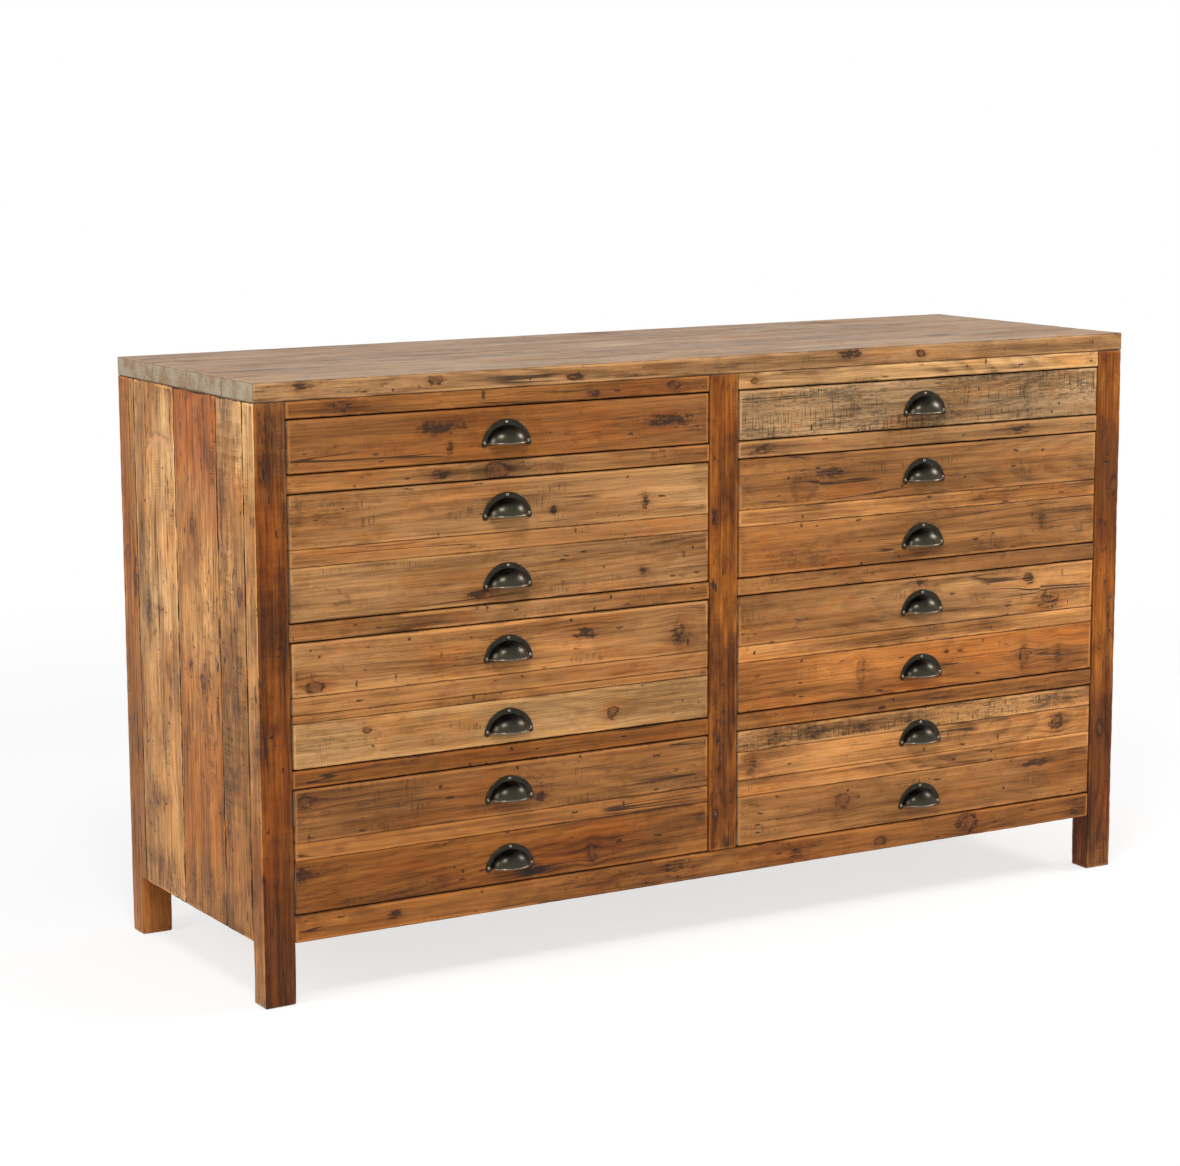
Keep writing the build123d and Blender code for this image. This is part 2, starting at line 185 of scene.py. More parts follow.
# Each drawer's front, from its top down
FRONT_BOARDS = {
    "drawer_left_1": (
        ("walnut umber walnut", burn(245, 52, 9, 4.0), burn(258, 22, 8, 0.6), burn(632, 40, 9, 4.0)),
    ),
    "drawer_left_2": (
        (
            "chestnut honey honey honey tan",
            burn(429, 27, 6, 0.7),
            burn(588, 27, 10, 0.5),
            burn(60, 48, 20, strength=0.35),
        ),
        ("amber",),
        ("honey", burn(305, 16, 5, 4.0), burn(585, 26, 4)),
    ),
    "drawer_left_3": (
        ("honey gold honey", Knot(36, 12, 9), burn(652, 32, 21, 0.75), burn(485, 48, 7, 2.5)),
        ("amber",),
        ("chestnut",),
        ("tan", Knot(530, 27, 8, 1.1), Knot(118, 45, 4)),
    ),
    "drawer_left_4": (
        ("walnut chestnut", burn(405, 20, 6), Knot(14, 60, 9)),
        ("rust",),
        (
            "umber umber umber umber sienna",
            Knot(492, 24, 13, 0.6, charred=0.3),
            burn(388, 12, 9, 2.5),
            burn(12, 58, 8),
        ),
    ),
    "drawer_right_1": (("driftwood",),),
    "drawer_right_2": (
        ("chestnut chestnut honey", Knot(122, 26, 18, 1.2, 0.4), burn(172, 48, 8, 3.0, 0.8)),
        ("gold",),
        ("rust chestnut chestnut", burn(592, 46, 13, 0.6, 0.8), burn(120, 24, 20, 3.0, 0.45)),
    ),
    "drawer_right_3": (
        ("chestnut honey gold", burn(567, 58, 8, 1.2), burn(610, 20, 16), burn(350, 72, 6)),
        ("gold",),
        (
            "paprika",
            Knot(232, 40, 20, 0.4, 0.5),
            burn(400, 58, 3),
            Knot(560, 34, 18, 0.45, 0.5),
            burn(632, 30, 16, 0.4),
        ),
    ),
    "drawer_right_4": (
        (
            "soot",
            burn(66, 18, 16, 0.8, 0.7),
            burn(150, 14, 18, 1.1, 0.8),
            burn(215, 14, 14, 3.0, 0.7),
            burn(640, 18, 12, 4.0, 0.4),
        ),
        ("gold", burn(26, 26, 14, 0.8), Knot(632, 24, 13, 0.9)),
        ("gold",),
        ("chestnut", Knot(200, 48, 11, 1.1, 0.7), burn(590, 64, 5, 5.0)),
    ),
}

# Rails of each column, from the top down
TOP_RAILS = {
    "left": (("sienna", burn(85, 14, 13), burn(500, 8, 5), Knot(640, 14, 6)),),
    "right": (("straw", Knot(30, 12, 4)),),
}
DRAWER_RAILS = {
    "left": (("rust honey rust", Knot(338, 12, 11), burn(245, 12, 7)), ("rust honey rust",), ("umber",)),
    "right": (
        ("honey", burn(44, 12, 15, 1.5), burn(545, 12, 13, 1.8)),
        ("chestnut walnut",),
        ("sienna", burn(276, 6, 4)),
    ),
}
BOTTOM_RAIL = (
    "sienna",
    burn(160, 20, 6),
    burn(644, 25, 16),
    burn(868, 16, 12),
    Knot(1034, 14, 6),
    Knot(1208, 22, 13),
    burn(1440, 16, 14),
)

# Planks, from the back to the front, and the back's boards
TOP_EDGE = "biscuit biscuit tan"
TOP_PLANKS = (
    "ash",
    "ash",
    "ash",
    (
        "ash",
        burn(72, 20, 7, on_edge=True),
        Knot(286, 19, 8, on_edge=True, length=1.2),
        burn(520, 10, 5, on_edge=True, length=3.0),
        burn(1015, 20, 6, on_edge=True, length=3.0),
        Knot(1150, 14, 5, on_edge=True),
    ),
)
SIDE_PLANKS = {
    "left": (
        ("walnut walnut rust honey", burn(480, 14, 9, 4.0)),
        (
            "wheat wheat wheat wheat cream wheat cream wheat",
            burn(436, 114, 9, 2.6),
            burn(440, 72, 20, 0.25, 0.7),
            burn(145, 85, 34, 0.35, 0.6),
            Knot(300, 40, 6, strength=0.6),
            Knot(655, 54, 56, 0.8, 0.0, scar=True),
        ),
        (
            "cinnamon copper copper wheat wheat brick brick",
            Knot(582, 90, 13, 0.9, 0.9, charred=0.5),
            burn(374, 108, 7),
            Knot(356, 66, 11, 0.9),
            burn(60, 70, 24, 1.4, 0.4),
        ),
        (
            "cinnamon cinnamon olive cinnamon wheat cinnamon cream",
            burn(660, 70, 14, 3.0, 0.5),
            burn(222, 50, 20, 1.2, 0.6),
            Knot(500, 20, 7),
        ),
    ),
    "right": (
        "honey rust walnut",
        "olive cinnamon cinnamon wheat cinnamon",
        "copper wheat cream wheat wheat cream",
        "brick copper copper wheat copper",
    ),
}
BACK_BOARDS = ("honey", "chestnut", "biscuit", "rust", "tan", "chestnut")

# Posts: the woods of their edges, and their look
EDGE_KNOT = {"length": 0.7, "strength": 0.7, "charred": 0.5, "on_edge": True}
POSTS = {
    "post_front_left": (
        "wheat copper wheat wheat cream",
        (
            "bark bark russet russet bark russet walnut",
            burn(835, 22, 14, 2.0, 0.8),
            burn(780, 16, 10, 2.0, 0.7),
            Knot(705, 8, 8, **EDGE_KNOT),
            Knot(375, 9, 8, **EDGE_KNOT),
        ),
    ),
    "post_front_right": (
        "russet",
        ("walnut russet bark ember russet bark bark ember", Knot(650, 40, 8), Knot(240, 20, 7)),
    ),
    "post_back_left": (
        "sienna umber sienna copper sienna copper",
        ("sienna", Knot(600, 20, 8, on_edge=True)),
    ),
    "post_back_right": ("chestnut sienna copper", ("russet", Knot(300, 25, 9))),
    "centre_stile": (
        "russet",
        ("ember russet ember bark ember russet ember ember", burn(522, 8, 8), Knot(60, 12, 5)),
    ),
}


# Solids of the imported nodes


def solids_of(node):
    """The corners of each separate solid in a node. A solid ends where its faces close."""
    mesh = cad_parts[node].data
    corners = np.empty(len(mesh.vertices) * 3)
    mesh.vertices.foreach_get("co", corners)
    points, place = np.unique(np.round(corners.reshape(-1, 3), 5), axis=0, return_inverse=True)
    place = place.reshape(-1)
    solids, used, open_edges = [], set(), set()
    for polygon in mesh.polygons:
        ring = [int(place[vertex]) for vertex in polygon.vertices]
        used.update(ring)
        for first, second in zip(ring, ring[1:] + ring[:1]):
            if (second, first) in open_edges:
                open_edges.remove((second, first))
            elif first != second:
                open_edges.add((first, second))
        if not open_edges:
            solids.append(points[sorted(used)])
            used = set()
    return solids


def box_round(points):
    """The low and high corners of the box round some points."""
    return points.min(axis=0), points.max(axis=0)


def board_boxes(node, face):
    """The box of each board in a node, without its tongues and tenons, which stay clear of its faces."""
    boxes = []
    for points in solids_of(node):
        low, high = box_round(points)
        from_face = np.minimum(points[:, face] - low[face], high[face] - points[:, face])
        boxes.append(box_round(points[from_face < 0.1 * MILLIMETRE]))
    return boxes


# Boards


@dataclass
class Board:
    """One sawn board: its box, the axes of its grain and its face, its woods and its wear.

    The woods follow each other from the board's low end to its high end. Its edges may have their own.
    """

    low: np.ndarray
    high: np.ndarray
    grain: int
    face: int
    woods: tuple
    knots: tuple = ()
    edge_woods: tuple = ()
    joint: float = 1.0
    rounding: float = 0.0013
    step: float = FINE_STEP
    waviness: float = 0.0003


def grid_lines(length, rounding, step):
    """Places along one side of a board: close together at its rounded edges, then about a step apart."""
    inset = min(2.2 * rounding, 0.45 * length)
    count = max(2, round((length - 2 * inset) / step) + 1)
    middle = np.linspace(inset, length - inset, count)
    edge = np.array([0.0, 0.35, 1.0]) * rounding
    return np.concatenate([edge, middle, (length - edge)[::-1]])


def box_surface(counts):
    """The welded surface of a box of grid lines: its vertices' line numbers, its quads and their axes."""
    quads, axes = [], []
    for axis in range(3):
        first, second = (axis + 1) % 3, (axis + 2) % 3
        i, j = np.meshgrid(np.arange(counts[first] - 1), np.arange(counts[second] - 1), indexing="ij")
        for end in (0, counts[axis] - 1):
            ring = []
            for step_i, step_j in ((0, 0), (1, 0), (1, 1), (0, 1)):
                line = [None, None, None]
                line[axis] = np.full(i.shape, end)
                line[first] = i + step_i
                line[second] = j + step_j
                ring.append(np.ravel_multi_index(line, counts).ravel())
            faces = np.stack(ring, axis=-1)
            quads.append(faces if end else faces[:, ::-1])
            axes.append(np.full(len(faces), axis))
    used, quads = np.unique(np.concatenate(quads), return_inverse=True)
    return np.stack(np.unravel_index(used, counts), axis=-1), quads.reshape(-1, 4), np.concatenate(axes)


def ripple(places, wavelengths, draw):
    """Smooth random waves from 0 to 1 over the places."""
    total = np.zeros(len(places))
    for wavelength in wavelengths:
        way = draw.normal(size=3) * 2 * math.pi / np.array(wavelength)
        total += np.sin(places @ way + draw.uniform(0, 2 * math.pi))
    return 0.5 + 0.5 * total / len(wavelengths)


WEAR_WAVES = [(0.05, 0.05, 0.05), (0.11, 0.11, 0.11), (0.3, 0.3, 0.3)]
SINK_WAVES = [(0.25, 0.06, 0.06), (0.5, 0.1, 0.1), (0.12, 0.05, 0.05)]
WOOD_WAVES = [(0.05, 0.03, 0.03), (0.12, 0.05, 0.05), (0.3, 0.08, 0.08)]
WOOD_WAVE_REACH = 0.16
NO_KNOT_RADIUS = 0.01
FAR = 9.0


def linear(colour):
    """A colour written in 0 to 255 as light."""
    share = np.array(colour) / 255
    return np.where(share <= 0.04045, share / 12.92, ((share + 0.055) / 1.055) ** 2.4)


def woods_along(woods, shares):
    """Colour, greyness, saw marks, stains and figure at shares of a board's length, from wood to wood."""
    looks = np.array(
        [(*linear(wood.colour), wood.grey, wood.sawn, wood.stained, wood.figure) for wood in woods]
    )
    stops = np.linspace(0, 1, len(woods))
    return np.stack([np.interp(shares, stops, look) for look in looks.T], axis=-1)


def nearest_knots(board, centres, quad_axes, offset):
    """The nearest knot to each face: its place with its radius, its kind and if it is a scar."""
    count = len(centres)
    found = np.tile((offset[0] - FAR, offset[1] - FAR, NO_KNOT_RADIUS), (count, 1))
    kind = np.tile((0.0, 1.0, 0.0), (count, 1))
    scar = np.zeros(count)
    nearest = np.full(count, FAR)
    for knot in board.knots:
        along, across, radius = np.array((knot.along, knot.across, knot.radius)) * MILLIMETRE
        crosswise, side = (2, 1) if knot.on_edge else (1, 2)
        distance = np.hypot(centres[:, 0] - along, centres[:, crosswise] - across)
        closer = (distance < nearest) & (quad_axes == side)
        nearest[closer] = distance[closer]
        found[closer] = (offset[0] + along, offset[crosswise] + across, radius)
        kind[closer] = (knot.charred, knot.length, knot.strength)
        scar[closer] = knot.scar
    return {"knot": found, "knot_kind": kind, "scar": scar}


class BoardMesh:
    """The vertices, faces and surface data of the boards in one piece."""

    def __init__(self):
        self.vertices, self.faces, self.is_end = [], [], []
        self.count = 0
        self.on_points, self.on_faces = defaultdict(list), defaultdict(list)

    def add(self, board, seed):
        """Adds one board with rounded, worn edges and slightly uneven faces."""
        draw = np.random.default_rng(seed)
        width_axis = 3 - board.grain - board.face
        axes = [board.grain, width_axis, board.face]
        size = (board.high - board.low)[axes]
        rounding = min(board.rounding * 1.7, 0.4 * size.min())
        lines = [grid_lines(length, rounding, board.step) for length in size]
        numbers, quads, quad_axes = box_surface([len(places) for places in lines])
        local = np.stack([places[numbers[:, axis]] for axis, places in enumerate(lines)], axis=-1)

        wear = ripple(local, WEAR_WAVES, draw)
        radius = rounding * (0.35 + 0.65 * wear**1.5)[:, None]
        inner = np.clip(local, radius, size - radius)
        away = local - inner
        outward = away / np.linalg.norm(away, axis=1)[:, None]
        sink = board.waviness * ripple(local, SINK_WAVES, draw)
        shape = inner + outward * (radius - sink[:, None])
        placed = np.empty_like(shape)
        placed[:, axes] = shape + board.low[axes]
        if (board.face - width_axis) % 3 != 1:
            quads = quads[:, ::-1]

        offset = draw.uniform(0, 30, 3)
        pith_across = size[1] * draw.uniform(-0.6, 1.6)
        pith_depth = size[2] / 2 + draw.choice([-1, 1]) * draw.uniform(0.03, 0.11)
        slope = draw.uniform(-0.06, 0.06)
        middle = offset[0] + size[0] / 2
        pith = (offset[1] + pith_across, offset[2] + pith_depth - slope * middle, slope)

        centres = local[quads].mean(axis=1)
        on_edge = quad_axes == 1
        uneven = ripple(centres, WOOD_WAVES, draw) - 0.5
        shares = centres[:, 0] / size[0] + WOOD_WAVE_REACH * uneven
        look = woods_along(board.woods, shares)
        if board.edge_woods:
            look[on_edge] = woods_along(board.edge_woods, shares[on_edge])
        streaks = np.tile((board.woods[0].shortness, board.joint), (len(quads), 1))

        self.vertices.append(placed)
        self.faces.append(quads + self.count)
        self.is_end.append(quad_axes == 0)
        self.count += len(placed)
        to_sides = np.minimum(local, size - local)
        point_data = {
            "grain": local + offset,
            "rim": np.sort(to_sides, axis=1)[:, 1],
            "to_end": to_sides[:, 0],
        }
        face_data = {
            "tone": look[:, 0:3],
            "finish": look[:, 3:6],
            "figure": np.column_stack([look[:, 6], streaks]),
            "pith": np.tile(pith, (len(quads), 1)),
            "edgewise": on_edge.astype(float),
            **nearest_knots(board, centres, quad_axes, offset),
        }
        for kept, data in ((self.on_points, point_data), (self.on_faces, face_data)):
            for name, values in data.items():
                kept[name].append(values)

    def build(self, name, materials):
        """A Blender object with the boards' surface data as attributes."""
        mesh = bpy.data.meshes.new(name)
        mesh.from_pydata(np.concatenate(self.vertices), [], np.concatenate(self.faces).tolist())
        for domain, data in (("POINT", self.on_points), ("FACE", self.on_faces)):
            for attribute, parts in data.items():
                values = np.concatenate(parts).astype(np.float32)
                kind, field = ("FLOAT", "value") if values.ndim == 1 else ("FLOAT_VECTOR", "vector")
                layer = mesh.attributes.new(attribute, kind, domain)
                layer.data.foreach_set(field, values.ravel())
        for material in materials:
            mesh.materials.append(material)
        mesh.polygons.foreach_set("material_index", np.concatenate(self.is_end).astype(np.int32))
        mesh.polygons.foreach_set("use_smooth", np.ones(len(mesh.polygons), dtype=bool))
        mesh.update()
        return add_object(name, mesh)


def add_object(name, data):
    """A new object in the scene."""
    made = bpy.data.objects.new(name, data)
    bpy.context.scene.collection.objects.link(made)
    return made


# Node graphs


class Graph:
    """Short names for the nodes of one material."""

    def __init__(self, tree):
        self.tree = tree

    def plug(self, socket, value):
        """Links a socket, or sets it to a constant."""
        if isinstance(value, bpy.types.NodeSocket):
            self.tree.links.new(value, socket)
        else:
            socket.default_value = value

    def fill(self, node, values):
        """Plugs a node's sockets by name."""
        for name, value in values.items():
            self.plug(node.inputs[name], value)

    def node(self, kind, *values, **settings):
        """A node with its settings, and with values in its first sockets."""
        made = self.tree.nodes.new(kind)
        for setting, value in settings.items():
            setattr(made, setting, value)
        for socket, value in zip(made.inputs, values):
            self.plug(socket, value)
        return made

    def attribute(self, name, output="Vector"):
        """A named attribute of the mesh."""
        return self.node("ShaderNodeAttribute", attribute_name=name).outputs[output]

    def place(self):
        """The place in the object's own frame."""
        return self.node("ShaderNodeTexCoord").outputs["Object"]

    def math(self, operation, *values):
        """A sum or function of numbers."""
        return self.node("ShaderNodeMath", *values, operation=operation).outputs[0]

    add = partialmethod(math, "ADD")
    subtract = partialmethod(math, "SUBTRACT")
    multiply = partialmethod(math, "MULTIPLY")
    divide = partialmethod(math, "DIVIDE")
    larger = partialmethod(math, "MAXIMUM")

    def apart(self, value, middle):
        """How far a number lies from a middle."""
        return self.math("ABSOLUTE", self.subtract(value, middle))

    def product(self, *values):
        """All the numbers multiplied together."""
        return reduce(self.multiply, values)

    def weigh(self, *pairs):
        """The sum of numbers, each times its weight."""
        total = 0.0
        for value, weight in pairs:
            total = self.math("MULTIPLY_ADD", value, weight, total)
        return total

    def sum_of_squares(self, first, second):
        return self.math("MULTIPLY_ADD", first, first, self.multiply(second, second))

    def bell(self, first, second, first_scale, second_scale):
        """A smooth hill over two numbers: 1 where both are 0, and 0 far away."""
        spread = self.sum_of_squares(self.multiply(first, first_scale), self.multiply(second, second_scale))
        return self.math("EXPONENT", self.multiply(spread, -1.0))

    def split(self, vector):
        """The three numbers of a vector."""
        return tuple(self.node("ShaderNodeSeparateXYZ", vector).outputs)

    def join(self, *numbers):
        """A vector of three numbers."""
        return self.node("ShaderNodeCombineXYZ", *numbers).outputs[0]

    def scaled(self, vector, factors):
        """A vector with each of its numbers multiplied."""
        return self.node("ShaderNodeVectorMath", vector, factors, operation="MULTIPLY").outputs[0]

    def noise_node(self, vector, scales, detail):
        """Noise with its own scale along each axis. The last of the scales repeats."""
        made = self.node("ShaderNodeTexNoise")
        place = self.scaled(vector, (*scales, scales[-1])[:3])
        self.fill(made, {"Vector": place, "Scale": 1.0, "Detail": detail})
        return made

    def noise(self, vector, scales, detail=3.0, roughness=0.55):
        """Noise from 0 to 1, mostly near its middle."""
        made = self.noise_node(vector, scales, detail)
        made.inputs["Roughness"].default_value = roughness
        return made.outputs["Fac"]

    def zone(self, vector, scales, low, high, detail=3.0, roughness=0.55):
        """Noise spread to 0 below low and 1 above high."""
        return self.between(self.noise(vector, scales, detail, roughness), low, high)

    def warped(self, vector, scales, reach):
        """A vector moved about by noise, up to about a reach to each side."""
        shift = self.noise_node(vector, scales, 2.0).outputs["Color"]
        reaches = (2 * reach, 2 * reach, 2 * reach)
        return self.node("ShaderNodeVectorMath", shift, reaches, vector, operation="MULTIPLY_ADD").outputs[0]

    def between(self, value, low, high):
        """0 below low, 1 above high, and smooth between them. Low may be the higher of the two."""
        ends = (low, high, 0.0, 1.0) if low < high else (high, low, 1.0, 0.0)
        made = self.node("ShaderNodeMapRange", value, *ends, interpolation_type="SMOOTHSTEP")
        return made.outputs["Result"]

    def ranged(self, value, low, high):
        """A number from 0 to 1 spread from low to high."""
        return self.node("ShaderNodeMapRange", value, 0.0, 1.0, low, high).outputs["Result"]

    def blend(self, share, first, second, clamp=True):
        """A mix of two colours. A constant colour is written in 0 to 255."""
        made = self.node("ShaderNodeMix", share, data_type="RGBA", clamp_factor=clamp)
        colour_sockets = [socket for socket in made.inputs if socket.type == "RGBA"]
        for socket, colour in zip(colour_sockets, (first, second)):
            self.plug(socket, (*linear(colour), 1.0) if isinstance(colour, tuple) else colour)
        return next(socket for socket in made.outputs if socket.type == "RGBA")

    def over(self, colour, cover, *shares):
        """A colour under a share of another, which is the product of some shares."""
        return self.blend(self.product(*shares), colour, cover)

    def tint(self, colour, factors, *shares):
        """A colour under a share of its own multiple."""
        return self.over(colour, self.scaled(colour, factors), *shares)

    def bump(self, height, distance):
        """A normal that follows a height."""
        made = self.node("ShaderNodeBump")
        self.fill(made, {"Distance": distance, "Height": height})
        return made.outputs["Normal"]


def new_material(name):
    """A material with its graph and its surface shader."""
    material = bpy.data.materials.new(name)
    material.use_nodes = True
    tree = material.node_tree
    return material, Graph(tree), tree.nodes["Principled BSDF"]


PLAIN_SOCKETS = {"gloss": "Specular IOR Level", "metal": "Metallic"}


def material_of(recipe, **plain):
    """A material named after its recipe, which gives its colour, roughness, height and the height's depth."""
    material, g, surface = new_material(recipe.__name__)
    colour, roughness, height, depth = recipe(g)
    g.fill(surface, {"Base Color": colour, "Roughness": roughness, "Normal": g.bump(height, depth)})
    g.fill(surface, {PLAIN_SOCKETS[name]: value for name, value in plain.items()})
    return material


# Wood materials

SMEAR_BROWN = (56, 35, 20)
SMUDGE_BROWN = (60, 39, 25)
WEATHER_GREY = (78, 68, 46)
SAW_CUT = (66, 47, 29)
SCAR_PALE = (208, 146, 98)
SCAR_SHADE = (106, 76, 50)
KNOT_TAIL = (70, 44, 25)
KNOT_BROWN = (122, 73, 38)
KNOT_DARK = (72, 45, 25)
KNOT_OUTLINE = (44, 29, 18)
CHAR = (48, 33, 22)
MARK = (38, 24, 15)
# Dirt and painted shade in the joints between boards
JOINT_DIRT_AND_SHADE = (45, 29, 18)
END_GREY = (166, 156, 134)
END_ORANGE = (176, 112, 58)
END_PORE = (58, 42, 30)
END_RIM = (70, 50, 34)

# Streaks along the grain: their scales, their low and high ends, detail, roughness and weight
STREAKS = {
    "broad": ((1.5, 24), 0.36, 0.64, 3.0, 0.55, 0.24),
    "bands": ((1.6, 55), 0.34, 0.66, 3.0, 0.55, 0.28),
    "ribbons": ((3, 130), 0.38, 0.62, 3.0, 0.6, 0.20),
    "streaks": ((7.5, 300), 0.36, 0.66, 3.0, 0.6, 0.27),
    "hairs": ((22, 640), 0.37, 0.63, 2.0, 0.6, 0.21),
    "swells": ((3.2, 10), 0.34, 0.66, 3.0, 0.6, 0.34),
}

# Flecks, nicks, nail holes and cross nicks: their stretch, the chance they need, size and strength
MARKS = (
    ((26, 100, 100), 0.70, 0.130, 0.75),
    ((70, 60, 60), 0.90, 0.130, 0.80),
    ((13, 13, 13), 0.84, 0.028, 0.90),
    ((80, 30, 30), 0.94, 0.140, 0.75),
)


def board_grain(g):
    """Sockets that say where a point lies in its board, from the mesh's attributes.

    The place is along, across and through the board. The flow is the same, bent round the nearest knot. The
    distance from that knot is in its own radii, and uneven. A small knot has a radius of a few millimetres.
    Over a scar is its upper half. The rim is the distance from the nearest edge.
    """
    place = g.attribute("grain")
    along, across, depth = g.split(place)
    edgewise = g.attribute("edgewise", "Fac")
    figure, shortness, joint = g.split(g.attribute("figure"))
    knot_along, knot_across, knot_radius = g.split(g.attribute("knot"))
    charred, knot_length, strength = g.split(g.attribute("knot_kind"))
    scar = g.attribute("scar", "Fac")
    lies_across = g.add(across, g.multiply(g.subtract(depth, across), edgewise))
    off_across = g.subtract(lies_across, knot_across)
    from_along = g.divide(g.subtract(along, knot_along), g.multiply(knot_radius, knot_length))
    from_across = g.divide(off_across, knot_radius)

    bend = g.product(g.bell(from_along, from_across, 0.40, 0.50), g.ranged(charred, -0.62, -0.25), strength)
    shift = g.multiply(off_across, bend)
    shift_across = g.multiply(shift, g.subtract(1.0, edgewise))
    shift_depth = g.multiply(shift, edgewise)
    flow = g.join(g.multiply(along, shortness), g.add(across, shift_across), g.add(depth, shift_depth))

    ragged = g.ranged(g.noise(place, (75, 95), 4.0, 0.65), -1.1, 1.1)
    ragged = g.multiply(ragged, g.ranged(scar, 1.0, 0.2))
    oval = g.math("SQRT", g.sum_of_squares(from_along, from_across))
    tail_streaks = g.zone(flow, (8, 190), 0.40, 0.60)
    return SimpleNamespace(
        place=place,
        flow=flow,
        from_knot=g.add(oval, ragged),
        knot_tail=g.multiply(g.bell(from_along, from_across, 0.30, 1.0), tail_streaks),
        charred=charred,
        knot_strength=strength,
        knot_small=g.between(knot_radius, 0.014, 0.007),
        over_scar=g.multiply(g.between(from_along, -0.1, 0.5), scar),
        figure=figure,
        joint=joint,
        rim=g.attribute("rim", "Fac"),
        to_end=g.attribute("to_end", "Fac"),
    )


def growth_rings(g, flow, spacing):
    """The dark line of each year's growth, from 0 to 1, round a pith that drifts along the board."""
    along, across, depth = g.split(flow)
    pith_across, pith_depth, slope = g.split(g.attribute("pith"))
    sway = g.ranged(g.noise(flow, (2.2, 5), 2.0), -0.022, 0.022)
    drift = g.ranged(g.noise(flow, (1.3, 0.6), 1.0), -0.05, 0.05)
    side = g.add(g.subtract(across, pith_across), sway)
    below = g.subtract(g.subtract(depth, g.add(pith_depth, g.multiply(along, slope))), drift)
    radius = g.math("SQRT", g.sum_of_squares(side, below))
    year = g.math("FRACT", g.divide(radius, spacing))
    return g.multiply(g.between(year, 0.30, 0.80), g.between(year, 1.0, 0.86))


def grain_colour(g, grain, tone):
    """The board's own colour in pale and dark streaks, warm or faded in places, and the streaks."""
    layers = {name: g.zone(grain.flow, *spread) for name, (*spread, _) in STREAKS.items()}
    weights = [(layer, STREAKS[name][-1]) for name, layer in layers.items()]
    ring_zone = g.zone(grain.flow, (2.4, 12), 0.38, 0.62, 2.0)
    rings = g.multiply(growth_rings(g, grain.flow, RING_SPACING), ring_zone)
    dark_share = g.subtract(g.weigh(*weights, (rings, 0.22)), 0.83)
    dark_share = g.math("MULTIPLY_ADD", dark_share, grain.figure, 0.44)
    dark_share = g.larger(g.math("MINIMUM", dark_share, 1.12), -0.55)
    pale = g.scaled(tone, (1.42, 1.43, 1.44))
    dark = g.scaled(tone, (0.41, 0.36, 0.30))
    colour = g.blend(dark_share, pale, dark, clamp=False)
    clouds = g.noise(grain.place, (4.8, 13), 4.0, 0.62)
    colour = g.tint(colour, (1.02, 0.83, 0.58), g.between(clouds, 0.50, 0.66), 0.8)
    colour = g.tint(colour, (1.10, 1.17, 1.24), g.between(clouds, 0.46, 0.30), 0.8)
    return colour, layers["streaks"]


def stained(g, grain, colour, amount):
    """A colour with old stains: dusky patches, smears along the grain, soft smudges and soiled margins."""
    place = grain.place
    patchy = g.multiply(amount, amount)
    tide = g.noise(place, (6.5, 11), 4.0, 0.65)
    worn_dark = g.scaled(colour, (0.57, 0.52, 0.49))
    worn_pale = g.scaled(colour, (1.28, 1.30, 1.36))
    between_tides = g.scaled(colour, (1.04, 1.04, 1.04))
    colour = g.over(between_tides, worn_dark, g.between(tide, 0.49, 0.66), patchy, 0.50)
    colour = g.over(colour, worn_pale, g.between(tide, 0.47, 0.35), patchy, 0.50)
    edge_zone = g.zone(place, (4.5, 8), 0.45, 0.60, 3.0, 0.6)
    colour = g.tint(colour, (0.55, 0.47, 0.40), g.between(grain.rim, 0.017, 0.002), edge_zone, patchy, 0.42)
    mottle = g.zone(place, (19, 30), 0.50, 0.66, 5.0, 0.7)
    colour = g.tint(colour, (0.66, 0.61, 0.58), mottle, g.ranged(amount, 0.35, 0.80))
    smears = g.zone(grain.flow, (8, 150), 0.54, 0.68, 5.0, 0.65)
    smear_zone = g.zone(place, (3.6, 14), 0.46, 0.60, 2.0)
    colour = g.over(colour, SMEAR_BROWN, smears, smear_zone, amount, 0.95)
    smudges = g.zone(place, (40, 95), 0.54, 0.68, 5.0, 0.7)
    smudge_zone = g.zone(place, (5, 16), 0.53, 0.63, 2.0)
    near_end = g.multiply(g.between(grain.to_end, 0.075, 0.0), 0.8)
    return g.over(colour, SMUDGE_BROWN, smudges, g.larger(smudge_zone, near_end), amount)


def weathered(g, grain, colour, grey, sawn):
    """A colour with grey weathering and an old saw's cuts and tooth marks, and how deep they lie."""
    place = grain.place
    dashes = g.noise(place, (60, 420), 4.0, 0.7)
    patches = g.noise(place, (9, 26), 4.0, 0.65)
    weather = g.multiply(g.between(g.weigh((dashes, 1.0), (patches, 0.6)), 0.80, 0.93), grey)
    colour = g.over(colour, WEATHER_GREY, weather, 0.66)
    cut_lines = g.zone(place, (360, 26), 0.50, 0.62, 4.0, 0.65)
    cut_zone = g.noise(place, (9, 34), 4.0, 0.65)
    cuts = g.multiply(cut_lines, g.between(g.math("MULTIPLY_ADD", sawn, 0.20, cut_zone), 0.62, 0.74))
    along, _, _ = g.split(place)
    lean = g.multiply(g.noise(place, (1.2, 20), 2.0), 0.02)
    teeth = g.between(g.math("SINE", g.multiply(g.add(along, lean), 2 * math.pi / TOOTH_SPACING)), 0.2, 0.9)
    tooth_zone = g.zone(place, (6, 45), 0.61, 0.68, 2.0)
    cuts = g.larger(cuts, g.product(teeth, tooth_zone, 0.5))
    return g.over(colour, SAW_CUT, cuts, g.ranged(sawn, 0.42, 0.70)), g.add(weather, cuts)


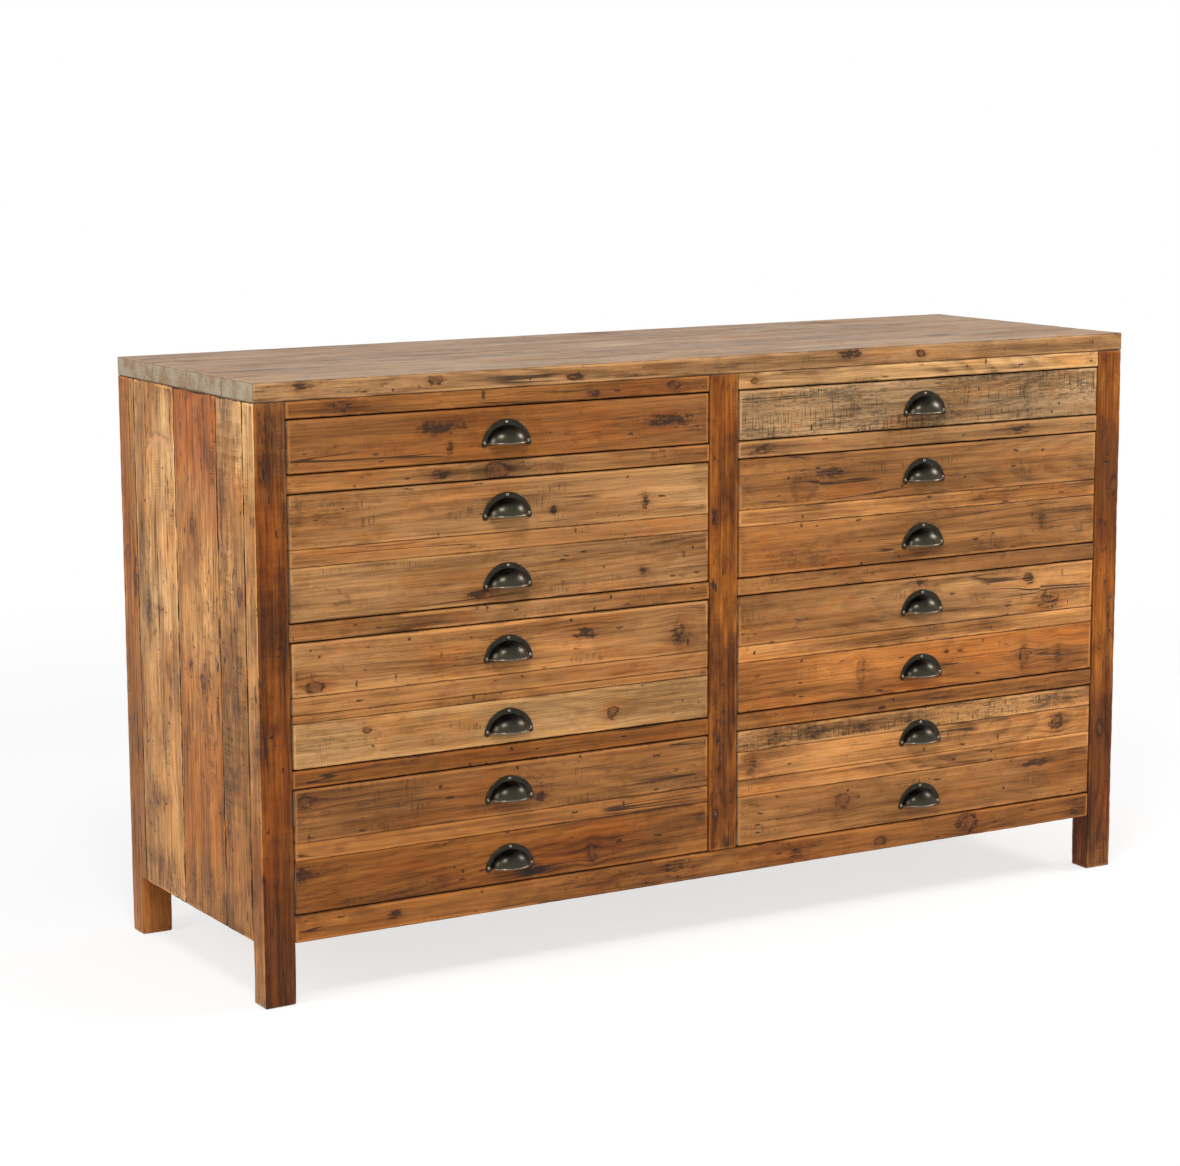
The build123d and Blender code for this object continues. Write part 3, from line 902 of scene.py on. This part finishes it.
def knotted(g, grain, colour):
    """A colour with the board's knots: a warm halo, a brown core with a dark outline, and tails.

    A charred knot is a cluster of dark strokes in a dusky patch. A scar is a pale arch with a dark line.
    """
    away = grain.from_knot
    strength = grain.knot_strength
    grime = g.noise(grain.place, (120, 150), 4.0, 0.7)
    arch = g.between(g.apart(away, 0.95), 0.17, 0.07)
    colour = g.over(colour, SCAR_PALE, arch, grain.over_scar, 0.66)
    above = g.between(g.apart(away, 1.14), 0.12, 0.02)
    colour = g.over(colour, SCAR_SHADE, above, grain.over_scar, g.between(grime, 0.42, 0.56), 0.6)

    whole = g.multiply(g.subtract(1.0, grain.charred), strength)
    halo = g.between(away, 2.8, 0.7)
    colour = g.tint(colour, (0.78, 0.58, 0.42), halo, strength, g.ranged(grain.charred, 0.60, 0.32))
    colour = g.over(colour, KNOT_TAIL, grain.knot_tail, strength, 0.50)
    core_colour = g.blend(g.between(grime, 0.42, 0.62), KNOT_BROWN, KNOT_DARK)
    colour = g.over(colour, core_colour, g.between(away, 1.25, 0.55), whole, 0.70)
    outline = g.between(g.apart(away, 0.95), 0.40, 0.05)
    colour = g.over(colour, KNOT_OUTLINE, outline, whole, g.between(grime, 0.34, 0.54), 0.88)

    burnt = g.multiply(grain.charred, strength)
    near = g.between(away, 1.9, 0.2)
    strokes = g.noise(grain.flow, (60, 330), 5.0, 0.7)
    blots = g.noise(grain.place, (170, 90), 5.0, 0.75)
    dark = g.weigh((strokes, 0.9), (blots, 0.4), (near, 0.16), (grain.knot_small, 0.09))
    colour = g.tint(colour, (0.60, 0.51, 0.44), near, burnt, 0.46)
    return g.over(colour, CHAR, g.between(dark, 0.76, 0.87), burnt, g.between(near, 0.0, 0.6), 0.88)


def flecked(g, grain, colour):
    """A colour with flecks along the grain, nail holes, nicks and cracks, and how deep they lie."""
    uneven = g.warped(grain.place, (160, 160), 0.0028)
    cracks = g.apart(g.noise(grain.flow, (0.9, 30), 2.0), 0.5)
    crack_zone = g.zone(grain.place, (3.4, 9), 0.57, 0.63, 1.0)
    deepest = g.product(g.between(cracks, 0.010, 0.003), crack_zone, 0.85)
    for stretch, chance_needed, size, strength in MARKS:
        cells = g.node("ShaderNodeTexVoronoi", feature="F1")
        g.fill(cells, {"Vector": g.scaled(uneven, stretch), "Scale": 1.0})
        chance, bigness, _ = g.split(cells.outputs["Color"])
        kept = g.between(chance, chance_needed, chance_needed + 0.02)
        reach = g.multiply(g.ranged(bigness, 0.4, 1.7), size)
        inside = g.between(g.divide(cells.outputs["Distance"], reach), 1.1, 0.8)
        deepest = g.larger(deepest, g.product(kept, inside, strength))
    return g.over(colour, MARK, deepest), deepest


def edge_wear_and_painted_light(g, grain, colour, tone):
    """A colour rubbed pale along parts of the edges, partly as a painted highlight, with a dark uneven line
    of grime and painted shade at the joint, and its depth.
    """
    place = grain.place
    # Pale edge band: partly rubbed wear, partly a painted highlight where light catches the rounded edges.
    worn_and_highlit_zone = g.zone(place, (4, 9), 0.44, 0.54, 4.0, 0.65)
    rubbed = g.scaled(tone, (1.75, 1.75, 1.70))
    colour = g.over(colour, rubbed, g.between(grain.rim, 0.0062, 0.0024), worn_and_highlit_zone, 0.66)
    # Dark uneven line at the joints: dirt and painted shade between the boards.
    line_depth = g.ranged(g.noise(place, (24, 24), 3.0, 0.65), -0.0018, 0.0032)
    chip_depth = g.ranged(g.noise(place, (26, 26), 3.0, 0.6), -0.046, 0.022)
    depth = g.larger(g.multiply(line_depth, grain.joint), chip_depth)
    dirt_and_shade = g.between(g.subtract(depth, grain.rim), -0.0009, 0.0009)
    filled = g.ranged(g.zone(place, (5, 5), 0.36, 0.60), 0.30, 0.82)
    return g.over(colour, JOINT_DIRT_AND_SHADE, dirt_and_shade, filled, grain.joint), dirt_and_shade


def reclaimed_pine(g):
    """Old waxed boards: streaked grain, stains, saw marks, grey weathering, knots, flecks and worn edges,
    with a painted highlight on parts of the edges and grime with painted shade in the joints.
    """
    grain = board_grain(g)
    tone = g.attribute("tone")
    grey, sawn, stain = g.split(g.attribute("finish"))
    colour, streaks = grain_colour(g, grain, tone)
    colour = stained(g, grain, colour, stain)
    colour, rough_cuts = weathered(g, grain, colour, grey, sawn)
    colour = knotted(g, grain, colour)
    colour, marks = flecked(g, grain, colour)
    colour, dirt_and_shade = edge_wear_and_painted_light(g, grain, colour, tone)
    roughness = g.weigh((streaks, 0.22), (rough_cuts, 0.14), (dirt_and_shade, 0.2), (1.0, 0.36))
    height = g.weigh((streaks, 0.6), (rough_cuts, -0.6), (marks, -1.8), (dirt_and_shade, -1.2))
    return colour, roughness, height, 0.0007


def pine_end_grain(g):
    """Sawn ends: the rings' arcs, dry and greyed, with fine cracks and orange where they are rubbed."""
    grain = g.attribute("grain")
    tone = g.attribute("tone")
    rings = growth_rings(g, grain, END_RING_SPACING)
    pores = g.noise(grain, (30, 420))
    blots = g.noise(grain, (20, 34), 4.0, 0.6)
    colour = g.over(g.scaled(tone, (1.05, 1.1, 1.15)), g.scaled(tone, (0.58, 0.54, 0.5)), rings, 0.55)
    colour = g.over(colour, END_GREY, g.between(blots, 0.36, 0.60), 0.70)
    colour = g.over(colour, END_ORANGE, g.between(blots, 0.40, 0.28), 0.6)
    colour = g.over(colour, END_PORE, g.between(pores, 0.52, 0.70), 0.45)
    colour = g.over(colour, END_RIM, g.between(g.attribute("rim", "Fac"), 0.0016, 0.0004), 0.6)
    return colour, g.ranged(pores, 0.62, 0.85), g.add(g.multiply(rings, 0.4), pores), 0.0006


def plain_pine(g):
    """Newer planed pine inside the case, with its grain from front to back."""
    lines = g.noise(g.place(), (170, 4, 170), 4.0, 0.6)
    bands = g.zone(g.place(), (40, 2, 40), 0.45, 0.62, 2.0)
    colour = g.over((208, 172, 122), (168, 122, 74), g.between(lines, 0.36, 0.66))
    colour = g.over(colour, (178, 132, 84), bands, 0.5)
    return colour, g.ranged(lines, 0.50, 0.68), lines, 0.0004


def plywood(g):
    """Sanded plywood: a wild veneer figure, and the plies on its edges."""
    grain = g.attribute("grain")
    figure = g.noise(grain, (3, 34, 1), 4.0, 0.6)
    fibres = g.noise(grain, (16, 420, 30))
    waves = g.math("FRACT", g.multiply(figure, 9.0))
    colour = g.over((212, 182, 138), (178, 138, 92), g.between(waves, 0.2, 0.9), 0.55)
    colour = g.over(colour, (150, 112, 72), g.between(fibres, 0.46, 0.70), 0.35)
    depth = g.split(grain)[2]
    plies = g.between(g.math("SINE", g.multiply(depth, 2 * math.pi / PLY_SPACING)), -0.2, 0.2)
    colour = g.over(colour, (122, 84, 50), plies, g.attribute("edgewise", "Fac"), 0.6)
    return colour, g.ranged(fibres, 0.50, 0.66), fibres, 0.0003


# Metal materials


def dark_bronze(g):
    """Oiled dark bronze: nearly black where hands don't reach, and rubbed over the cup and along its lip. On
    the dome the near-black top is partly painted shade, the lighter lower part a painted reflection, and the
    pale lip a painted highlight on rubbed metal.
    """
    patina = g.noise(g.place(), (90, 90), 4.0, 0.6)
    grains = g.noise(g.place(), (900, 900), 2.0)
    # Painted light: near black is painted shade under the flange, the lighter tone a painted reflection low
    # on the dome, and the pale tone a painted highlight on the lip.
    rubbed_and_sheen = g.add(g.attribute("rubbed_and_sheen", "Fac"), g.ranged(patina, -0.25, 0.25))
    colour = g.over((24, 22, 18), (66, 61, 51), g.between(rubbed_and_sheen, 0.05, 0.80))
    colour = g.over(colour, (118, 111, 97), g.between(rubbed_and_sheen, 0.82, 1.05))
    roughness = g.weigh((patina, 0.16), (grains, 0.05), (1.0, 0.18))
    return colour, roughness, g.weigh((patina, 0.5), (grains, 0.2)), 0.0002


def worn_steel(g):
    """Pin and screw heads of dull steel."""
    tarnish = g.noise(g.place(), (500, 500))
    colour = g.over((156, 149, 135), (100, 93, 82), g.between(tarnish, 0.35, 0.65))
    return colour, g.ranged(tarnish, 0.26, 0.50), tarnish, 0.0001


# Boards have one material on their faces and one on their ends
OLD_PINE = (material_of(reclaimed_pine, gloss=0.16), material_of(pine_end_grain, gloss=0.3))
PLY = (material_of(plywood),) * 2
INNER_PINE = material_of(plain_pine)
BRONZE = material_of(dark_bronze, metal=1.0)
STEEL = material_of(worn_steel, metal=1.0)


# Pieces of wood

KNOT_SEED_START = 1000
KNOT_SEED_STEP = 17
MOST_KNOTS = 3
KNOT_RADII = (5, 13)

seeds = itertools.count(1)


def put_in_place(piece, node, body):
    """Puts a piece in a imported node's place, on its body."""
    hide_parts(node)
    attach(piece, body)


def dress(node, boards, body="case", materials=OLD_PINE):
    """Replaces a node of boards with worn boards of the same size."""
    mesh = BoardMesh()
    for board in boards:
        mesh.add(board, next(seeds))
    put_in_place(mesh.build(f"{node}.dressed", materials), node, body)


def random_knots(length, width, seed):
    """A few knots at random places on a board."""
    draw = np.random.default_rng(KNOT_SEED_START + seed)
    count = draw.integers(0, MOST_KNOTS + 1)
    return [
        Knot(draw.uniform(0.05, 0.95) * length, draw.uniform(0.15, 0.85) * width, draw.uniform(*KNOT_RADII))
        for _ in range(count)
    ]


def plank_row(node, face, grain, order, looks, **wear):
    """Boards of a node in order along an axis, from its high end, each with its look."""
    boxes = sorted(board_boxes(node, face), key=lambda box: -box[0][order])
    boards = []
    for number, (low, high) in enumerate(boxes):
        look = looks[number % len(looks)]
        if isinstance(look, str):
            length, width = (high - low)[[grain, 3 - face - grain]] / MILLIMETRE
            look = (look, *random_knots(length, width, KNOT_SEED_STEP * number + len(node)))
        names, *knots = look
        boards.append(Board(low, high, grain, face, woods_named(names), knots, **wear))
    return boards


def dress_case(node, face, grain, order, looks, **wear):
    """Replaces a row of the case's old boards."""
    dress(node, plank_row(node, face, grain, order, looks, **wear))


def dress_rails(node, looks):
    """Replaces the rails of both columns, from the top down in each column."""
    boxes = board_boxes(node, Y)
    boards = []
    for column, hand in COLUMNS.items():
        own = sorted((box for box in boxes if hand * box[0][X] > 0), key=lambda box: -box[0][Z])
        for (low, high), (names, *knots) in zip(own, looks[column]):
            boards.append(Board(low, high, X, Y, woods_named(names), knots, rounding=RAIL_ROUNDING))
    dress(node, boards)


def dress_box(node, body):
    """Replaces the walls of a drawer's box, each with its grain along it."""
    walls = []
    for low, high in map(box_round, solids_of(node)):
        runs_back = high[Y] - low[Y] > high[X] - low[X]
        grain, face = (Y, X) if runs_back else (X, Y)
        walls.append(Board(low, high, grain, face, woods_named("new_pine"), **PLAIN_WEAR))
    dress(node, walls, body)


def dress_ply(node, body):
    """Replaces a node of plywood panels."""
    dress(node, plank_row(node, Z, X, X, ("birch",), **PLAIN_WEAR), body, PLY)


dress_case("top_planks", Z, X, Y, TOP_PLANKS, edge_woods=woods_named(TOP_EDGE), rounding=CASE_ROUNDING)
for side, looks in SIDE_PLANKS.items():
    dress_case(f"side_planks_{side}", X, Z, Y, looks, joint=SIDE_JOINT, rounding=CASE_ROUNDING)
dress_case("back_boards", Y, Z, X, BACK_BOARDS)
for node, (edge, look) in POSTS.items():
    dress_case(node, Y, Z, X, (look,), edge_woods=woods_named(edge), rounding=CASE_ROUNDING)
dress_rails("top_rails", TOP_RAILS)
dress_rails("drawer_rails", DRAWER_RAILS)
dress_case("bottom_rail", Y, X, Z, (BOTTOM_RAIL,), rounding=BOTTOM_RAIL_ROUNDING)
for node, face, grain in (
    ("back_rails", Y, X),
    ("centre_partition", X, Z),
    ("cross_rails", Z, Y),
    ("top_cleats", Z, Y),
    ("drawer_stops", Z, X),
):
    dress(node, plank_row(node, face, grain, Z, ("new_pine",), **PLAIN_WEAR))
dress_ply("bottom_panels", "case")

drawers = [f"drawer_{column}_{number + 1}" for column in COLUMNS for number in range(DRAWERS_PER_COLUMN)]
for drawer in drawers:
    dress(f"{drawer}_front", plank_row(f"{drawer}_front", Y, X, Z, FRONT_BOARDS[drawer]), drawer)
    dress_box(f"{drawer}_box", drawer)
    dress_ply(f"{drawer}_bottom", drawer)


def recolour(node, material):
    """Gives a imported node's own solids a material."""
    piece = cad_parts[node]
    piece.data.materials.clear()
    piece.data.materials.append(material)


recolour("drawer_runners", INNER_PINE)
recolour("top_screws", STEEL)


# Cup pulls

WELD_DISTANCE = 1e-6
SHARP_ANGLE = math.radians(50)


def cup_wall(half_width, height, projection, turn, shares):
    """Points up a cup's round wall at one place along it, from share 0 at its lower edge to 1 at the drawer.

    The wall is an ellipse turned about an axis along X that lies behind the drawer's face.
    """
    radius = (height**2 + projection**2) / (2 * projection)
    behind = radius - projection
    half_length = half_width / math.sqrt(1 - (behind / radius) ** 2)
    x = half_width * math.cos(turn)
    reach = radius * math.sqrt(1 - (x / half_length) ** 2)
    top = math.acos(min(1.0, behind / reach))
    lifts = [share * top for share in shares]
    return [(x, behind - reach * math.cos(lift), LIP_RISE + reach * math.sin(lift)) for lift in lifts]


def pull_section(size, turn, edge):
    """The closed outline of a pull's metal at one place along it, and how much each point is rubbed, which on
    the dome and lip also sets painted shade, a painted reflection and a painted highlight.
    """
    width, depth, height = size
    dome = (width / 2 - FLANGE_WIDTH, height - FLANGE_WIDTH - LIP_RISE, depth - LIP_WIDTH)
    inner = tuple(length - PULL_WALL for length in dome)
    lip = tuple(length + LIP_WIDTH for length in dome)
    bead_radius = LIP_HEIGHT / 2

    inner_wall = cup_wall(*inner, turn, np.linspace(1.0, 0.07, 14))
    inner_foot = np.array(cup_wall(*inner, turn, [0.0])[0])
    lip_foot = np.array(cup_wall(*lip, turn, [0.0])[0])
    rolls = []
    for angle in np.linspace(0.12, 0.95, 7) * math.pi:
        rolls.append(((1 - math.cos(angle)) / 2, 1 - math.sin(angle)))
    for angle in np.linspace(0.1, 0.9, 4) * math.pi / 2:
        rolls.append((1 - (1 - math.cos(angle)) * LIP_WIDTH / (LIP_WIDTH + PULL_WALL), 1 + math.sin(angle)))
    bead = []
    for across, rise in rolls:
        point = inner_foot + (lip_foot - inner_foot) * across
        bead.append((point[0], point[1], point[2] + bead_radius * rise))

    up_dome = np.linspace(0.09, 1.0, 18)
    outer_wall = [(x, min(y, -FLANGE_THICKNESS), z) for x, y, z in cup_wall(*dome, turn, up_dome)]
    foot = np.array(outer_wall[-1])
    rim = np.array((edge[0], -FLANGE_THICKNESS, edge[1]))
    flange = [tuple(foot + (rim - foot) * share) for share in (0.08, 0.3, 0.55, 0.8, 0.9)]
    for angle in np.linspace(0, 1, 4) * math.pi / 2:
        point = rim + (foot - rim) * 0.1 * (1 - math.sin(angle))
        flange.append((point[0], -FLANGE_THICKNESS * (0.35 + 0.65 * math.cos(angle)), point[2]))
    flange.append((rim[0], 0.0, rim[2]))

    # Inside and flange: how rubbed the metal is. Dome: painted shade near the flange, fading to a painted
    # reflection at its lower edge. Lip: a painted highlight on rubbed metal.
    rubbed_and_sheen = [INSIDE_RUBBED] * len(inner_wall) + [LIP_RUBBED_AND_HIGHLIGHT] * len(bead)
    rubbed_and_sheen += [DOME_RUBBED_AND_SHEEN * min(1.0, max(0.0, 1.25 - 1.6 * share)) for share in up_dome]
    rubbed_and_sheen += [FLANGE_RUBBED] * len(flange)
    return list(zip(inner_wall + bead + outer_wall + flange, rubbed_and_sheen))


def pull_sections(size):
    """Sections along a pull from its right ear over the dome to its left ear.

    Each ear is the round end of the flange, about as wide as the flange.
    """
    width, _, height = size
    ear = FLANGE_WIDTH / 2
    ear_turn = math.asin(ear / height)
    ear_middle = (width / 2 * math.cos(ear_turn) - ear, ear)
    right_ear = []
    for angle in np.linspace(-0.9, 0.0, EAR_STEPS, endpoint=False) * math.pi:
        edge = (ear_middle[0] + ear * math.cos(angle), ear_middle[1] + ear * math.sin(angle))
        right_ear.append(pull_section(size, 0.0, edge))
    dome = []
    for turn in np.linspace(0, math.pi, DOME_STEPS):
        edge_turn = ear_turn + (math.pi - 2 * ear_turn) * turn / math.pi
        dome.append(pull_section(size, turn, (width / 2 * math.cos(edge_turn), height * math.sin(edge_turn))))
    left_ear = [[((-x, y, z), rubbed_and_sheen) for (x, y, z), rubbed_and_sheen in section] for section in right_ear[::-1]]
    return right_ear + dome + left_ear


def cup_pulls(drawer):
    """The pulls of a drawer: hollow half domes with a rolled lip and a flange with round ears."""
    node = f"{drawer}_pulls"
    shape = bmesh.new()
    rubbed_and_sheen_layer = shape.verts.layers.float.new("rubbed_and_sheen")
    for low, high in sorted(map(box_round, solids_of(node)), key=lambda box: -box[0][Z]):
        origin = Vector(((low[X] + high[X]) / 2, high[Y], low[Z]))
        rows = []
        for section in pull_sections(high - low):
            row = []
            for point, rubbed_and_sheen in section:
                corner = shape.verts.new(origin + Vector(point))
                corner[rubbed_and_sheen_layer] = rubbed_and_sheen
                row.append(corner)
            rows.append(row)
        for row, following in zip(rows, rows[1:]):
            for number in range(len(row)):
                after = (number + 1) % len(row)
                shape.faces.new((row[number], following[number], following[after], row[after]))
        shape.faces.new(rows[0])
        shape.faces.new(rows[-1][::-1])
    bmesh.ops.remove_doubles(shape, verts=shape.verts, dist=WELD_DISTANCE)
    bmesh.ops.dissolve_degenerate(shape, edges=shape.edges, dist=WELD_DISTANCE)
    finish_metal(shape, node, drawer, BRONZE)


def pull_pins(drawer):
    """The round-headed pins that hold a drawer's pulls."""
    node = f"{drawer}_pull_pins"
    shape = bmesh.new()
    for low, high in map(box_round, solids_of(node)):
        head_radius = (high[X] - low[X]) / 2
        head_back = low[Y] + PIN_HEAD_HEIGHT
        shank = PIN_SHANK_SHARE * head_radius
        outline = [(0.0, low[Y])]
        for angle in np.linspace(0.2, 1.0, 6) * math.pi / 2:
            outline.append((head_radius * math.sin(angle), head_back - PIN_HEAD_HEIGHT * math.cos(angle)))
        outline += [(shank, head_back), (shank, high[Y]), (0.0, high[Y])]
        centre = (low + high) / 2
        profile = [shape.verts.new((centre[X] + radius, y, centre[Z])) for radius, y in outline]
        edges = [shape.edges.new(pair) for pair in zip(profile, profile[1:])]
        bmesh.ops.spin(
            shape,
            geom=profile + edges,
            cent=(centre[X], 0, centre[Z]),
            axis=(0, 1, 0),
            angle=2 * math.pi,
            steps=PIN_SIDES,
        )
    bmesh.ops.remove_doubles(shape, verts=shape.verts, dist=WELD_DISTANCE)
    finish_metal(shape, node, drawer, STEEL)


def finish_metal(shape, node, body, material):
    """Turns a bmesh into a smooth piece that replaces a node."""
    bmesh.ops.recalc_face_normals(shape, faces=shape.faces)
    mesh = bpy.data.meshes.new(node)
    shape.to_mesh(mesh)
    shape.free()
    mesh.materials.append(material)
    mesh.polygons.foreach_set("use_smooth", np.ones(len(mesh.polygons), dtype=bool))
    mesh.set_sharp_from_angle(angle=SHARP_ANGLE)
    put_in_place(add_object(f"{node}.dressed", mesh), node, body)


for drawer in drawers:
    cup_pulls(drawer)
    pull_pins(drawer)


# Studio


def seen_share(g):
    """1 for rays that show the background, straight or reflected, and 0 for those that light the chest."""
    path = g.node("ShaderNodeLightPath")
    shown = g.larger(path.outputs["Is Camera Ray"], path.outputs["Is Glossy Ray"])
    return g.larger(shown, path.outputs["Is Transmission Ray"])


def studio_floor():
    """A plain white floor that keeps a soft shadow, and fades into the backdrop away from the chest."""
    place = (0, 0, -0.0005)
    bpy.ops.mesh.primitive_circle_add(vertices=96, radius=FLOOR_RADIUS, fill_type="NGON", location=place)
    floor = bpy.context.object
    floor.name = "studio_floor"
    material, g, surface = new_material("studio_floor")
    g.fill(surface, {"Base Color": (0.9, 0.9, 0.9, 1), "Roughness": 0.9})
    glow = g.node("ShaderNodeEmission").outputs[0]
    clear = g.node("ShaderNodeBsdfTransparent").outputs[0]
    glowing = g.multiply(seen_share(g), FLOOR_GLOW)
    lit = g.node("ShaderNodeMixShader", glowing, surface.outputs[0], glow).outputs[0]
    distance = g.node("ShaderNodeVectorMath", g.place(), operation="LENGTH").outputs["Value"]
    away = g.between(distance, 0.4 * FLOOR_RADIUS, FLOOR_RADIUS)
    faded = g.node("ShaderNodeMixShader", away, lit, clear).outputs[0]
    g.plug(material.node_tree.nodes["Material Output"].inputs["Surface"], faded)
    floor.data.materials.append(material)


def backdrop_light(strength):
    """A white surround: full white where it is seen, and softer where it lights the chest."""
    world = bpy.data.worlds.new("studio")
    bpy.context.scene.world = world
    world.use_nodes = True
    g = Graph(world.node_tree)
    shown = g.ranged(seen_share(g), strength, 1.0)
    g.fill(world.node_tree.nodes["Background"], {"Color": (1, 1, 1, 1), "Strength": shown})


def area_light(name, place, width, height, power):
    """A soft rectangular lamp that faces the chest."""
    lamp = bpy.data.lights.new(name, "AREA")
    lamp.shape = "RECTANGLE"
    lamp.size = width
    lamp.size_y = height
    lamp.energy = power
    made = add_object(name, lamp)
    made.location = place
    made.rotation_euler = (Vector(CHEST_MIDDLE) - Vector(place)).to_track_quat("-Z", "Y").to_euler()


def photo_camera():
    """The camera at the photograph's viewpoint."""
    camera = bpy.data.cameras.new("camera")
    camera.sensor_width = CAMERA_SENSOR
    camera.sensor_fit = "HORIZONTAL"
    camera.lens = CAMERA_LENS
    camera.clip_end = 200
    flat = math.cos(CAMERA_PITCH)
    ahead = Vector((math.sin(CAMERA_YAW) * flat, math.cos(CAMERA_YAW) * flat, math.sin(CAMERA_PITCH)))
    level = Vector((math.cos(CAMERA_YAW), -math.sin(CAMERA_YAW), 0))
    upright = level.cross(ahead)
    right = math.cos(CAMERA_ROLL) * level + math.sin(CAMERA_ROLL) * upright
    up = right.cross(ahead)
    made = add_object("camera", camera)
    turn = Matrix((right, up, -ahead)).transposed().to_4x4()
    made.matrix_world = Matrix.Translation(CAMERA_PLACE) @ turn
    bpy.context.scene.camera = made


studio_floor()
backdrop_light(AMBIENT_LIGHT)
for name, settings in LAMPS.items():
    area_light(name, *settings)
photo_camera()
bpy.context.scene.view_settings.view_transform = "Standard"
